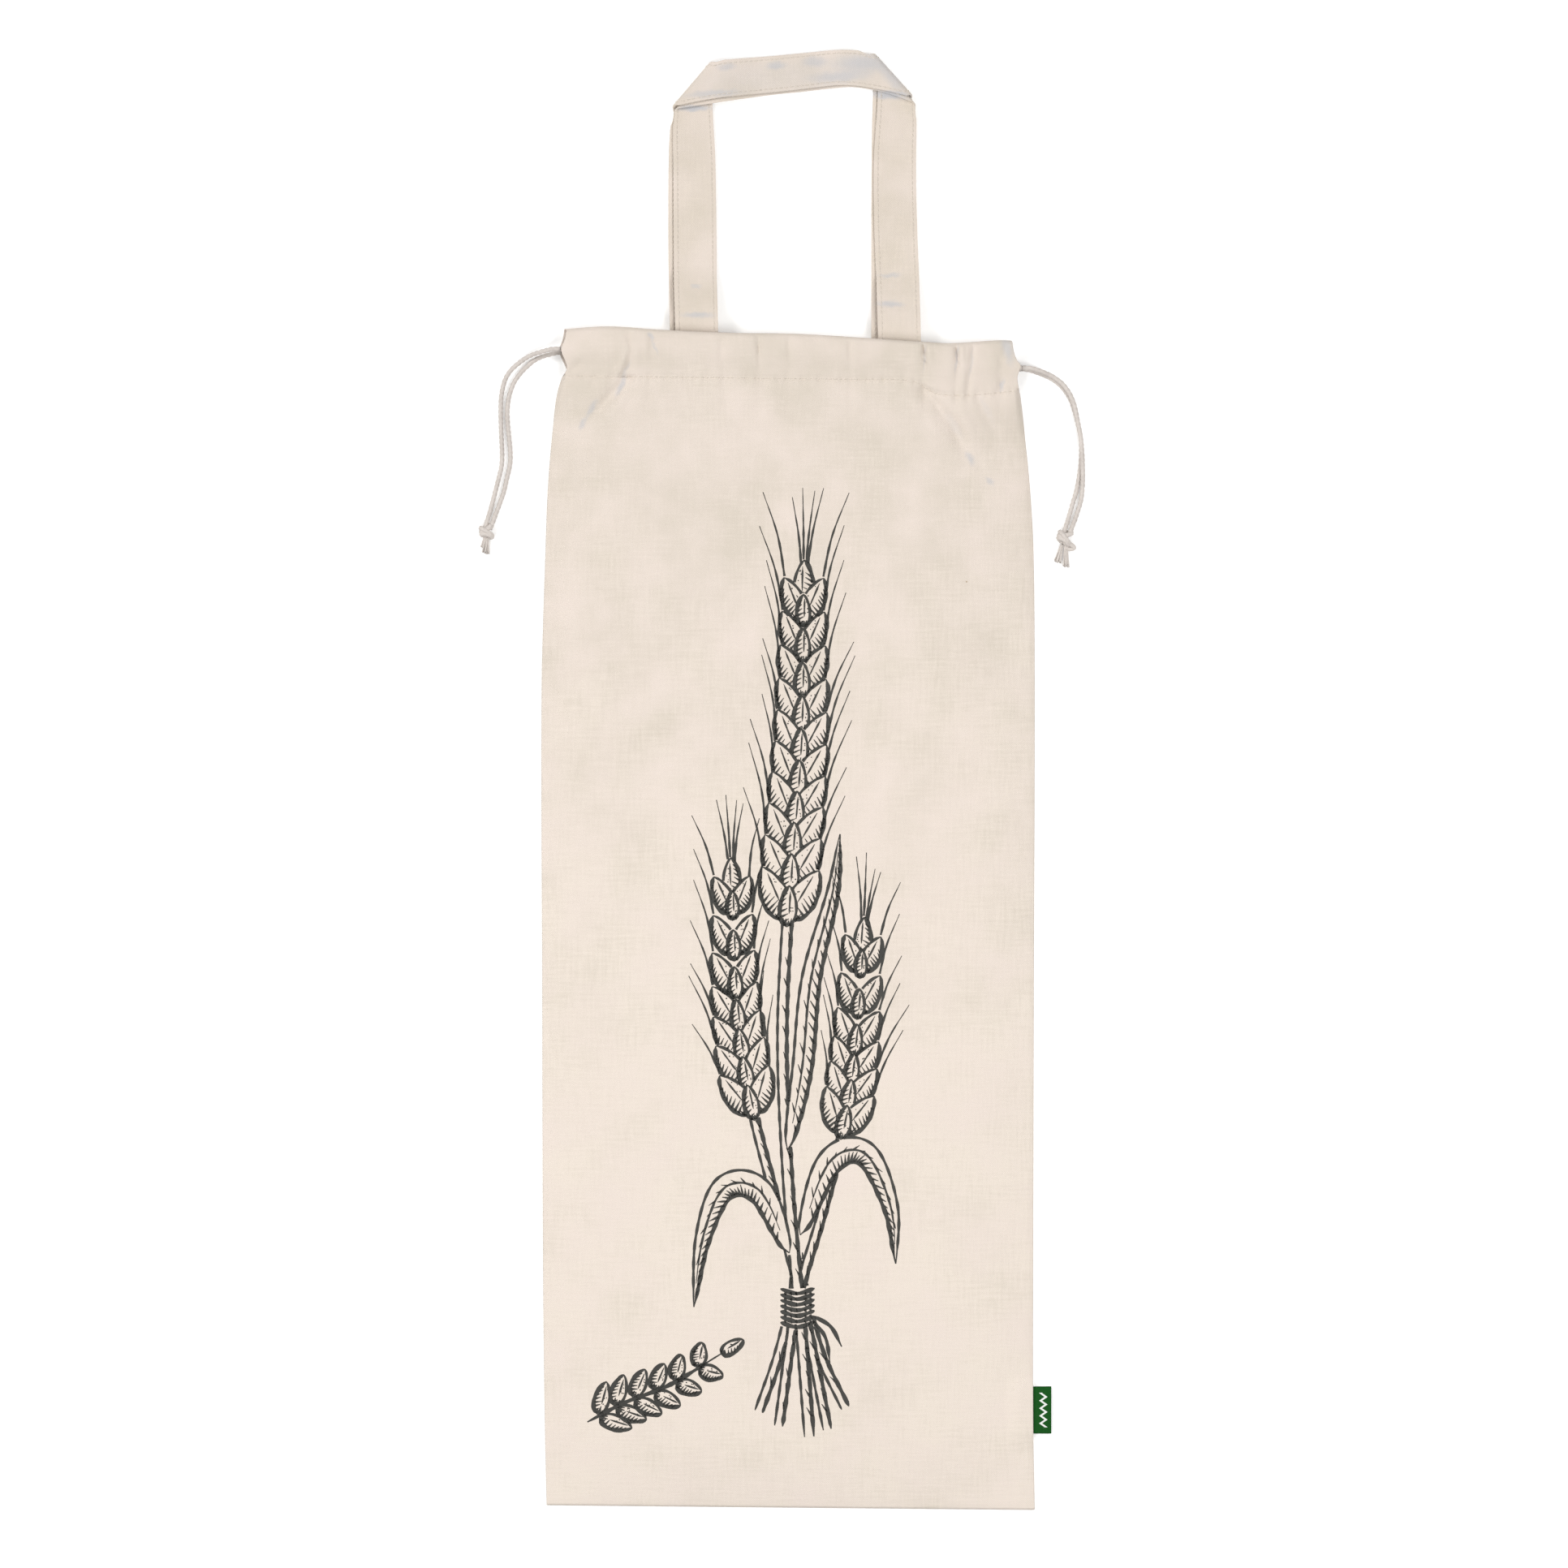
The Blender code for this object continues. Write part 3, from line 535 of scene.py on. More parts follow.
speck = add_node("TexVoronoi", {"Vector": weave_place, "Scale": 42})
near_speck = maths("LESS_THAN", speck["Distance"], 0.021)
pick = add_node("SeparateColor", {"Color": speck["Color"]})["Red"]
rare = maths("GREATER_THAN", pick, 0.86)
weave_shown = {
    "Height": maths("ADD", maths("MULTIPLY", checker, 0.35), slubs),
    "Tone": slubs,
    "Clouds": noise(weave_place, 22, 5)["Fac"],
    "Blush": noise(weave_place, 34, 3)["Fac"],
    "Flecks": maths("MULTIPLY", near_speck, rare),
}
weave_out = plain_weave.nodes.new("NodeGroupOutput").inputs
for socket_name, value in weave_shown.items():
    plain_weave.links.new(value, weave_out[socket_name])


def painted_shade_share(place, painted_shade_spots):
    """Share of painted cool shade: soft spots with uneven edges, from a table of them."""
    stray = {0: noise(place, 240, 3)["Color"], 1: (2 * STRAY, 2 * STRAY, 0), 2: place}
    strayed = add_node("VectorMath", stray, operation="MULTIPLY_ADD")["Vector"]
    total = 0.0
    for x, y, long, wide, turn, share in painted_shade_spots:
        spot = {
            "Vector": strayed,
            "Location": (x * MM + STRAY, y * MM + STRAY, 0),
            "Rotation": (0, 0, math.radians(turn)),
            "Scale": (long * MM, wide * MM, 1),
        }
        local = add_node("Mapping", spot, vector_type="TEXTURE")["Vector"]
        off = add_node("VectorMath", {0: local}, operation="LENGTH")["Value"]
        fade = {"Value": off, "From Min": 0.2, "From Max": 1.4, "To Min": share, "To Max": 0}
        faded = add_node("MapRange", fade, interpolation_type="SMOOTHSTEP")["Result"]
        total = maths("ADD", total, faded)
    return total


def woven(shader, thread, slub):
    return add_node(
        "Group", {"Thread": thread, "Slub": slub}, shader.id_data, node_tree=plain_weave
    )


def woven_cotton(name, colour, shade, thread, slub, bump, painted_shade_spots):
    """Matt cotton cloth: woven threads, slubs, clouds of tone and seed flecks, and painted shade.
    """
    material, shader = new_material(
        name, Sheen_Weight=0.12, Sheen_Roughness=0.6, Specular_IOR_Level=0.15
    )
    place = own_place(shader.id_data)
    weave = woven(shader, thread, slub)
    share = maths("MULTIPLY_ADD", weave["Clouds"], 1.5, -0.6)
    share = maths("MULTIPLY_ADD", weave["Tone"], 1.2, share)
    # Painted shade: darker up the bag towards the mouth, for light that falls off there
    up_the_bag = add_node("SeparateXYZ", {"Vector": place})["Y"]
    painted_falloff_shade = {"Value": up_the_bag, "From Min": -0.15, "From Max": 0.24, "To Max": 0.95}
    share = maths("ADD", share, add_node("MapRange", painted_falloff_shade)["Result"])
    tone = mixed(share, colour, shade)
    rosy = maths("MULTIPLY_ADD", weave["Blush"], 2.4, -0.85)
    tone = mixed(rosy, tone, COTTON_PINK)
    tone = mixed(maths("MULTIPLY", weave["Flecks"], 0.75), tone, SEED_FLECK)
    # Painted cool shade in creases, dips and under the band, from the table of spots
    tone = mixed(painted_shade_share(place, painted_shade_spots), tone, COOL_SHADE)
    rough = maths("MULTIPLY_ADD", weave["Height"], 0.1, 0.86)
    dress(shader, tone, weave["Height"], bump, RELIEF, rough)
    return material


# Painted cool shade in the cloth's creases and dips: centre x and y, half length, half width,
# turn, share
STRAY = 1.5 * MM
CLOTH_PAINTED_SHADE = (
    (-80.6, 245.5, 2.6, 1.3, -65, 0.5), (-78.4, 239.5, 4.8, 0.9, -66, 0.35),
    (-94.6, 226.5, 7, 1.1, 64, 0.25), (70.6, 234, 8, 0.9, 87, 0.3), (88.6, 234, 9, 0.9, 84, 0.38),
    (96.6, 231, 9.5, 0.9, 82, 0.22), (87.5, 196, 9, 2.4, -57, 0.16), (105, 206, 9, 2, -62, 0.14),
    (-97.3, 218, 6.5, 1.6, 62, 0.55), (-113.6, 205.7, 6, 1.8, 60, 0.45),
    (-118.6, 197.5, 4, 1.8, 60, 0.5), (96.2, 178.2, 4.5, 2.2, -60, 0.5),
    (107, 165.5, 3, 1.6, -40, 0.45), (116.6, 238.5, 9, 3.2, -75, 0.55),
    (113.8, 218.4, 3.6, 1.3, 80, 0.5),
)
cotton_cloth = woven_cotton(
    "unbleached_cotton", COTTON_COLOUR, COTTON_SHADE, thread=0.55, slub=1, bump=0.5,
    painted_shade_spots=CLOTH_PAINTED_SHADE
)

back_sheet = sewn_panel("back_sheet", False, close=6, far=10, hem_rows=6, step=4)
back_sheet.data.materials.append(cotton_cloth)
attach(back_sheet, "root")
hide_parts("back_panel")

front_sheet = sewn_panel("front_sheet", True, close=2, far=4, hem_rows=14, step=1.4)
front_sheet.data.materials.append(cotton_cloth)
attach(front_sheet, "root")
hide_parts("front_panel")

# Straps: two handles of folded and stitched cotton tape, their ends sewn inside the hems.
# They lie folded over flat above the mouth, the back one outermost.

STRAP_COLOUR = (0.672, 0.592, 0.5, 1)
STRAP_SHADE = (0.6, 0.53, 0.452, 1)
STRAP = 1.1 * MM
CAD_STRAP = 1.2 * MM
STRAP_PITCH = CAD_STRAP + SEAM_GAP
STRAP_WIDTHS = (
    (220, 23.6), (300, 23.8), (345, 23.4), (358, 22.8), (370, 22), (382, 20.4), (388, 20.6),
    (394.6, 19.6),
)
FOLD_ANGLES = {"left": math.radians(49.5), "right": math.radians(132.0)}
FOLD_STEPS = 10
STRAP_STEP = 1.8 * MM
STRAP_COLUMNS = (0.5, 0.47, 0.42, 0.36, 0.24, 0.12, 0, -0.12, -0.24, -0.36, -0.42, -0.47, -0.5)
STRAP_EDGE = 0.32 * MM
FOLD_SWING = 24 * MM
LEAST_SLANT = 0.65
FRONT_STRAP = {
    "left": ((-55.3, 226), (-55.3, 249.8), (-56, 275), (-56.3, 300), (-56.5, 325),
             (-56.8, 345), (-57.2, 358), (-57.6, 370), (-57.6, 381.4)),
    "band": ((-47.6, 385.6), (-38, 387.1), (-29, 388.5), (-13.5, 390.5), (1.9, 391.9),
             (18.6, 393.6), (31.5, 394.2), (42, 392.5)),
    "right": ((57, 220), (57, 244), (56.2, 275), (55.2, 300), (54.6, 325),
              (54.6, 345), (55.2, 360), (55.7, 372), (55.7, 384.6)),
    "slip": {"left": 4 * MM, "right": 4.5 * MM},
    "leg_z": STRAP_PITCH + CAD_STRAP / 2,
    "band_z": 2 * STRAP_PITCH + CAD_STRAP / 2,
}
BACK_STRAP = {
    "left": ((-58.4, 226), (-58.4, 249.8), (-59.1, 280), (-59.3, 310), (-59.3, 340),
             (-59.1, 355), (-58.6, 368), (-58, 382.3)),
    "band": ((-46.4, 388), (-36, 389.4), (-26.4, 390.4), (-11, 391.8), (4.5, 393.4),
             (18.6, 394.9), (28, 395.1), (37.9, 394)),
    "right": ((53.2, 220), (53.2, 244), (53.4, 276), (53.4, 300), (53.3, 345),
              (53.1, 370), (53.1, 388.3)),
    "slip": {"left": 5 * MM, "right": 3.5 * MM},
    "leg_z": CAD_STRAP / 2,
    "band_z": 3 * STRAP_PITCH + CAD_STRAP / 2,
}
BAND_SAG = 2 * STRAP_PITCH
SAG_FROM = (-45 * MM, 39 * MM)
SAG_LENGTH = 28 * MM
FRONT_DROP = (4 * MM, 42 * MM)
BACK_DROP = (3 * MM, 30 * MM)
# Cross creases pressed into the front legs: x of the leg, y, rise, half width
LEG_CREASES = (
    (-55, 272.4, -0.3, 1.5), (-55, 256.3, -0.6, 1.4), (56, 279.5, -0.3, 1.6),
    (56, 262.8, -0.55, 1.5),
)


def in_metres(points, height=0):
    """Points given in millimetres. Those without a height of their own get this one."""
    return [Vector((*point, height)[:3]) * MM for point in points]


def length_of(route):
    return sum((b - a).length for a, b in zip(route, route[1:]))


def smooth_route(points, step):
    """Points about a step apart on a smooth curve through the given ones."""
    stops = [Vector(point) for point in points]
    ends = [2 * stops[0] - stops[1]] + stops + [2 * stops[-1] - stops[-2]]
    dense = []
    for k in range(1, len(ends) - 2):
        before, start, end, after = ends[k - 1 : k + 3]
        for i in range(12):
            t = i / 12
            point = 2 * start + (end - before) * t
            point += (2 * before - 5 * start + 4 * end - after) * t**2
            point += (3 * start - before - 3 * end + after) * t**3
            dense.append(0.5 * point)
    dense.append(stops[-1])
    total = length_of(dense)
    pieces = max(round(total / step), 2)
    route = [dense[0]]
    travelled, wanted = 0.0, total / pieces
    for a, b in zip(dense, dense[1:]):
        length = (b - a).length
        while travelled + length >= wanted and len(route) < pieces:
            route.append(a.lerp(b, (wanted - travelled) / length))
            wanted += total / pieces
        travelled += length
    route.append(dense[-1])
    return route


def across(heading):
    return Vector((-heading.y, heading.x, 0))


def direction(path, k):
    low, high = max(k - 1, 0), min(k + 1, len(path) - 1)
    return (path[high] - path[low]).normalized()


def swung(heading, line, distance):
    """Across the strap, swung round to lie along the fold line where it is near."""
    square = across(heading)
    rise = line.dot(square)
    slant = line / math.copysign(max(abs(rise), LEAST_SLANT), rise)
    return square.lerp(slant, 1 - eased(distance / FOLD_SWING))


def strap_rows(strap, drop, inside_z):
    """Rows of a strap: its centre, the direction across it, and its height or a rule for it.

    Each leg lies under the band and turns over at a slanting fold.
    """
    lines = {c: Vector((math.cos(a), math.sin(a), 0)) for c, a in FOLD_ANGLES.items()}
    outward = {"left": across(lines["left"]), "right": -across(lines["right"])}
    legs = {c: smooth_route(in_metres(strap[c]), STRAP_STEP) for c in lines}
    ends = {c: legs[c][-1] + lines[c] * strap["slip"][c] for c in lines}
    middle = in_metres(strap["band"])
    band = smooth_route([ends["left"]] + middle + [ends["right"]], STRAP_STEP)
    fold_r = (strap["band_z"] - strap["leg_z"]) / 2

    def leg_height(x, y):
        past = y - top_y(x)
        fall = eased((past - drop[0]) / (drop[1] - drop[0]))
        high = inside_z(x, y)
        z = high + (strap["leg_z"] - high) * fall
        if strap is FRONT_STRAP:
            for at_x, at_y, rise, half in LEG_CREASES:
                if abs(x / MM - at_x) < 16:
                    z += rise * MM * bell((y / MM - at_y) / half)
        return z

    def band_height(x, y):
        inside = min(x - SAG_FROM[0], SAG_FROM[1] - x)
        return strap["band_z"] - BAND_SAG * eased(inside / SAG_LENGTH)

    def leg_rows(corner, sign):
        path = legs[corner]
        found = []
        for k, centre in enumerate(path):
            side = swung(direction(path, k), lines[corner], (path[-1] - centre).length)
            found.append((centre, side * sign, leg_height))
        return found

    def fold_rows(corner, leg_side, band_side):
        found = []
        for n in range(1, FOLD_STEPS):
            share = n / FOLD_STEPS
            turn = math.pi * share
            centre = legs[corner][-1].lerp(ends[corner], share)
            centre += outward[corner] * fold_r * math.sin(turn)
            z = strap["leg_z"] + fold_r * (1 - math.cos(turn))
            found.append((centre, leg_side.lerp(band_side, share), z))
        return found

    band_rows = []
    for k, centre in enumerate(band):
        from_left, from_right = (centre - band[0]).length, (band[-1] - centre).length
        near = "left" if from_left < from_right else "right"
        side = swung(direction(band, k), lines[near], min(from_left, from_right))
        band_rows.append((centre, -side, band_height))
    left, right = leg_rows("left", 1), leg_rows("right", -1)
    rows = left + fold_rows("left", left[-1][1], band_rows[0][1]) + band_rows
    rows += fold_rows("right", right[-1][1], band_rows[-1][1])[::-1]
    return rows + right[::-1]


def strap_point(row, share):
    """A point of a strap's mid surface. The share runs from -0.5 to 0.5 across it."""
    centre, side, height = row
    width = read(STRAP_WIDTHS, centre.y / MM) * MM
    point = centre + side * width * share
    point.z = height(point.x, point.y) if callable(height) else height
    return point


def laid_strap(name, strap, drop, inside_z):
    """A strap as a soft-edged sheet, with the rows that its stitches follow."""
    rows = strap_rows(strap, drop, inside_z)

    def place(row, column):
        return strap_point(rows[row], STRAP_COLUMNS[column])

    laid = cloth_grid(name, len(rows), len(STRAP_COLUMNS), place, STRAP)
    rounded = laid.modifiers.new("soft_edge", "BEVEL")
    rounded.width = STRAP_EDGE
    rounded.segments = 2
    rounded.limit_method = "ANGLE"
    rounded.angle_limit = math.radians(60)
    return laid, rows


def over_back_hem(x, y):
    return HEM + SEAM_GAP + CAD_STRAP / 2


def under_front_hem(x, y):
    s = side_share(x, min(y, top_y(x)))
    return HEM + mouth_gap(s) - SEAM_GAP - CAD_STRAP / 2


# Painted shade and shadow on the straps' band and legs, listed as in the cloth's table
STRAP_PAINTED_SHADE = (
    (-4, 390, 62, 11, 3.5, 0.18), (37, 397.5, 17, 5.5, 0, 0.55), (53.5, 388.5, 10, 4, -45, 0.5),
    (24, 390, 17, 3.4, 3, 0.45), (10, 398.5, 7, 3.4, 0, 0.45), (-11.3, 396.3, 6, 2.4, 4, 0.5),
    (-38.8, 395.5, 5.5, 2.2, 4, 0.45), (-45.8, 380.6, 17, 2.2, 4, 0.5),
    (-56.6, 372.6, 10.5, 1.8, 2, 0.8), (51.2, 380, 13, 2.6, -4, 0.8),
    (51.8, 279.8, 6.5, 1.4, 3, 0.45), (51.8, 263.8, 8, 2, -3, 0.6),
    (-54.7, 257.5, 9.5, 1.8, 0, 0.6), (-56, 273.7, 3, 1.2, 0, 0.4),
)
strap_cloth = woven_cotton(
    "strap_cotton", STRAP_COLOUR, STRAP_SHADE, thread=0.65, slub=1.2, bump=0.6,
    painted_shade_spots=STRAP_PAINTED_SHADE
)

back_strap, back_strap_rows = laid_strap("back_strap", BACK_STRAP, BACK_DROP, over_back_hem)
back_strap.data.materials.append(strap_cloth)
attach(back_strap, "root")
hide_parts("handle_back")

front_strap, front_strap_rows = laid_strap(
    "front_strap", FRONT_STRAP, FRONT_DROP, under_front_hem
)
front_strap.data.materials.append(strap_cloth)
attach(front_strap, "root")
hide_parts("handle_front")

# Drawcords: soft twisted cotton cord of three strands. Each runs through both channels,
# and its two ends leave the hem on one side, lie on the table and end in one knot.

CORD_COLOUR = (0.63, 0.579, 0.538, 1)
CORD_SHADE = (0.34, 0.298, 0.27, 1)
CORD = 3.0 * MM
CORD_TWIST = 8.5 * MM
CORD_STEP = 0.7 * MM
CORD_CORE = 0.8
# Routes of the free ends from hem to knot. A point without a height lies on the table, and
# then the middle of its cord is this high, in millimetres.
LYING = 1.55
LEFT_UPPER = (
    (-130.6, 238.8, 9), (-136, 238.6, 8.2), (-141.7, 237.3, 6.2), (-146.3, 235.9, 4.3),
    (-150.7, 233.7, 2.6), (-155.1, 230.5, 1.8), (-158.8, 227), (-161.4, 222.9), (-163, 217.9),
    (-163.9, 212.2), (-164.2, 205.9), (-164.1, 198.5), (-163.8, 190.1), (-163.4, 180.5),
    (-163.8, 174), (-165.2, 167.9), (-166.8, 161.6), (-168.4, 155.3), (-170.1, 149, 2),
    (-171.4, 144.6, 2.7), (-172.1, 142.3, 3),
)
LEFT_LOWER = (
    (-130.6, 237.4, 2.9), (-136, 236.3, 2.3), (-141.1, 234.9, 1.7), (-145.5, 232.8),
    (-149.2, 229.8), (-152.3, 226.8), (-155.1, 223.3), (-157.3, 219.6), (-158.9, 215.2),
    (-160, 210.6), (-160.6, 203.4), (-160.1, 195.2), (-159.6, 190.1), (-158.8, 180.5),
    (-159.2, 174.2), (-160.8, 167.2), (-162.4, 160.2), (-164.6, 153.7), (-166.5, 148.6, 2),
    (-168, 144.4, 2.7), (-168.8, 142.2, 3),
)
RIGHT_UPPER = (
    (124.9, 228.4, 9), (130.4, 228, 8.2), (134.8, 226.7, 7), (139.8, 224.8, 5.8),
    (143.7, 222.6, 5.1), (147.5, 219.5, 4.8), (150.7, 215.4, 4.7), (153.2, 210.3, 4.7),
    (154.8, 204.6, 4.7), (156, 198.3, 4.7), (157.2, 192, 4.7), (157.9, 186.9, 4.7),
    (158.4, 180.5, 4.6), (158.7, 172.8, 4.4), (158.8, 166.7, 3.8), (158.4, 159.3, 2.7),
    (157.5, 154, 1.9), (155.9, 148.7, 1.7), (154.5, 144.4, 2.2), (152.4, 139, 3),
)
RIGHT_LOWER = (
    (124.9, 228, 2.9), (130, 227.2, 2.2), (134.2, 225.8, 1.6), (139.2, 223.8), (143.1, 221.6),
    (146.8, 218.5), (149.9, 214.7), (152.5, 209.9), (154.3, 204.4), (155.9, 198.3), (157.3, 192),
    (157.9, 186.9), (158, 180.5), (157.4, 172.8), (156.4, 166), (155, 159.3), (153.4, 154),
    (151.9, 148.7, 1.7), (150.6, 144.4, 2.2), (148.9, 139, 3),
)

cord_cotton, cord_shader = new_material(
    "twisted_cotton", Specular_IOR_Level=0.15, Sheen_Weight=0.2
)
cord_place = own_place(cord_shader.id_data)
fibre = noise(cord_place, 900, 3)["Fac"]
worn = maths("MULTIPLY", fibre, noise(cord_place, 120, 2)["Fac"])
cord_tone = mixed(worn, CORD_COLOUR, CORD_SHADE)
cord_rough = maths("MULTIPLY_ADD", fibre, 0.15, 0.78)
dress(cord_shader, cord_tone, fibre, 0.5, 0.2 * MM, cord_rough)


def tube_rings(work, route, sides, radius_at):
    """Rings of vertices round a route, joined to a closed tube in the mesh being made."""
    up = Vector((0, 0, 1))
    rings = []
    for k, centre in enumerate(route):
        ahead = direction(route, k)
        wide = ahead.cross(up)
        if wide.length < 0.05:
            wide = ahead.cross(Vector((1, 0, 0)))
        wide.normalize()
        up = wide.cross(ahead).normalized()
        ring = []
        for n in range(sides):
            angle = 2 * math.pi * n / sides
            out = wide * math.cos(angle) + up * math.sin(angle)
            ring.append(work.verts.new(centre + out * radius_at(k, angle)))
        rings.append(ring)
    for a, b in zip(rings, rings[1:]):
        for n in range(sides):
            work.faces.new((a[n], a[(n + 1) % sides], b[(n + 1) % sides], b[n]))
    work.faces.new(rings[0][::-1])
    work.faces.new(rings[-1])


def finished(name, work, material):
    """The mesh being made, as a smooth object with one material."""
    mesh = bpy.data.meshes.new(name)
    bmesh.ops.recalc_face_normals(work, faces=work.faces)
    work.to_mesh(mesh)
    work.free()
    mesh.materials.append(material)
    mesh.shade_smooth()
    return in_scene(name, mesh)


def twisted_cord(name, points):
    """A cord of three strands twisted round each other, along a smooth route."""
    route = smooth_route(in_metres(points, LYING), CORD_STEP)
    into_knot = (route[-1] - route[-4]).normalized()
    route += [route[-1] + into_knot * CORD_STEP * (k + 1) for k in range(5)]
    step = length_of(route) / (len(route) - 1)

    def radius_at(k, angle):
        strand = 3 * (angle + 2 * math.pi * k * step / CORD_TWIST)
        return CORD / 2 * (CORD_CORE + 0.12 * math.cos(strand) - 0.03 * math.cos(2 * strand))

    work = bmesh.new()
    tube_rings(work, route, 24, radius_at)
    return finished(name, work, cord_cotton), route


# Knots: both ends of a cord are tied together in an overhand knot, and the cut ends below
# it have frayed into soft tails of single yarns.

# Centre of the knot, half size across, along and up, and how it leans
LEFT_KNOT = ((-172, 137.6, 3.2), (4.2, 4.6, 3.1), 0.12)
RIGHT_KNOT = ((148.6, 134.4, 3.2), (4.5, 4.7, 3.1), -0.25)
# Turns of cord in a knot: place along it and rise to the right as shares of its half length,
# lean from under to over it, lift, and cord radius
KNOT_TURNS = (
    (0.4, 0.3, -0.7, -0.2, 1.45), (-0.42, -0.22, 0.7, -0.2, 1.45), (0.02, -0.52, 0.3, 0.4, 1.3),
)
# Frayed tails: start x and y, end x and y, end's half width
LEFT_TAILS = ((-171.5, 134.6, -172.6, 125.2, 2.8), (-172.6, 134.8, -174.2, 128.6, 1.5))
RIGHT_TAILS = ((147.2, 130.6, 144.6, 120.4, 2.6), (149.4, 130.2, 149.6, 117.8, 2.1))
# Small loop of cord that stands out under the right knot
RIGHT_LOOP = ((148.4, 131.6, 2.6), (151.6, 130.9, 3.4), (154, 128.8, 2.6), (151.4, 128.2, 1.6),
              (148.6, 129.6, 1.6))
LOOP_CORD = 1.25
LOOP_STEP = 0.5 * MM
TAIL_YARNS = 26
YARN = 0.36


def cord_knot(name, knot, loop, tails, seed):
    """An overhand knot as crossing turns of twisted cord, with frayed tails under it."""
    centre, half, leaning = knot
    work = bmesh.new()
    for along, rise, lean, lift, thick in KNOT_TURNS:
        route = []
        for k in range(49):
            angle = 2 * math.pi * k / 48 - math.pi / 2
            x = (half[0] - thick) * math.cos(angle)
            y = half[1] * (along + rise * math.cos(angle)) + lean * math.sin(angle)
            z = max((half[2] - thick) * math.sin(angle) + lift + centre[2], thick)
            point = Vector((centre[0], centre[1], z))
            point.x += x * math.cos(leaning) - y * math.sin(leaning)
            point.y += x * math.sin(leaning) + y * math.cos(leaning)
            route.append(point * MM)

        def turn_radius(k, angle):
            return thick * MM * (0.94 + 0.10 * math.cos(3 * (angle + k * 0.42)))

        tube_rings(work, route, 18, turn_radius)
    if loop:
        route = smooth_route(in_metres(loop), LOOP_STEP)
        tube_rings(work, route, 18, lambda k, angle: LOOP_CORD * MM)
    dice = random.Random(seed)
    for x0, y0, x1, y1, spread in tails:
        start, end = Vector((x0, y0, 2.2)), Vector((x1, y1, spread * 0.55))
        along = (end - start).normalized()
        wide = across(along).normalized()
        for strand in range(TAIL_YARNS):
            angle = 2 * math.pi * strand / TAIL_YARNS * 5 + dice.uniform(-0.2, 0.2)
            share = math.sqrt((strand + 0.5) / TAIL_YARNS)
            out = wide * math.cos(angle) + Vector((0, 0, 0.62 * math.sin(angle)))
            reach = (end - start).length * dice.uniform(0.86, 1.0)
            yarn = []
            for k in range(9):
                t = k / 8
                flare = (0.95 + (spread - 0.95) * t**1.4) * share * 0.9
                sway = dice.uniform(-0.14, 0.14) * t
                point = start + along * reach * t + out * flare + wide * sway
                point.z = max(point.z, YARN)
                yarn.append(point * MM)
            tube_rings(work, yarn, 6, lambda k, angle: (YARN - 0.012 * k) * MM)
    return finished(name, work, cord_cotton)


knot_left = cord_knot("left_cord_knot", LEFT_KNOT, (), LEFT_TAILS, 3)
knot_right = cord_knot("right_cord_knot", RIGHT_KNOT, RIGHT_LOOP, RIGHT_TAILS, 8)
for tied, cad_knot in ((knot_left, "knot_left"), (knot_right, "knot_right")):
    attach(tied, "root")
    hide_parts(cad_knot)
for cord_name, points, cad_cord, tied in (
    ("left_cord_upper", LEFT_UPPER, "cord_left_upper", knot_left),
    ("left_cord_lower", LEFT_LOWER, "cord_left_lower", knot_left),
    ("right_cord_upper", RIGHT_UPPER, "cord_right_upper", knot_right),
    ("right_cord_lower", RIGHT_LOWER, "cord_right_lower", knot_right),
):
    free_end, route = twisted_cord(cord_name, points)
    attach(free_end, "root")
    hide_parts(cad_cord)
    tuple(route[0])
    length_of(route)
    [tuple(point) for point in route]
for held in ("drawcord_left", "drawcord_right"):
    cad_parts[held].data.materials.clear()
    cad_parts[held].data.materials.append(cord_cotton)

# Sewing thread: rows of lockstitch along the hem of each panel and close to both edges of
# the straps, in cotton thread a little lighter than the cloth.

THREAD_COLOUR = (0.73, 0.67, 0.6, 1)
THREAD = 0.42 * MM
STITCH_RISE = 0.32
STITCH_SINK = 0.12
STRAP_ROW = 0.405
STITCH = 2.9 * MM
STITCH_SPACE = 0.75 * MM

thread_cotton, thread_shader = new_material(
    "sewing_thread", Specular_IOR_Level=0.25, Roughness=0.7
)
ply = noise(own_place(thread_shader.id_data), 1500, 2)["Fac"]
dress(thread_shader, mixed(ply, THREAD_COLOUR, COTTON_SHADE), ply, 0.4, 0.1 * MM)


def skin_of(sheet):
    """The outer faces of a finished sheet, to lay stitches and print on."""
    graph = bpy.context.evaluated_depsgraph_get()
    shown = sheet.evaluated_get(graph)
    mesh = bpy.data.meshes.new_from_object(shown)
    mesh.transform(sheet.matrix_world)
    skin = BVHTree.FromPolygons(
        [v.co for v in mesh.vertices], [f.vertices[:] for f in mesh.polygons]
    )
    bpy.data.meshes.remove(mesh)
    return skin


def stitch_row(work, route, outward):
    """Stitches laid end to end along a route on the cloth, dipping in at both ends."""
    stops = [0.0]
    for a, b in zip(route, route[1:]):
        stops.append(stops[-1] + (b - a).length)

    def at(distance):
        k = 0
        while k < len(stops) - 2 and stops[k + 1] < distance:
            k += 1
        share = (distance - stops[k]) / max(stops[k + 1] - stops[k], 1e-9)
        out = outward[k].lerp(outward[k + 1], share).normalized()
        return route[k].lerp(route[k + 1], share), out

    begin = 0.0
    while begin + STITCH < stops[-1]:
        yarn = []
        for k in range(5):
            t = k / 4
            point, out = at(begin + (STITCH - STITCH_SPACE) * t)
            high = math.sin(math.pi * t) * STITCH_RISE - STITCH_SINK
            yarn.append(point + out * high * MM)
        tube_rings(work, yarn, 6, lambda k, angle: THREAD / 2)
        begin += STITCH


front_skin = skin_of(front_sheet)


def front_at(x, y):
    """The point of the front panel's outside over a place in plan."""
    return front_skin.ray_cast(Vector((x, y, 0.1)), Vector((0, 0, -1)))[0]


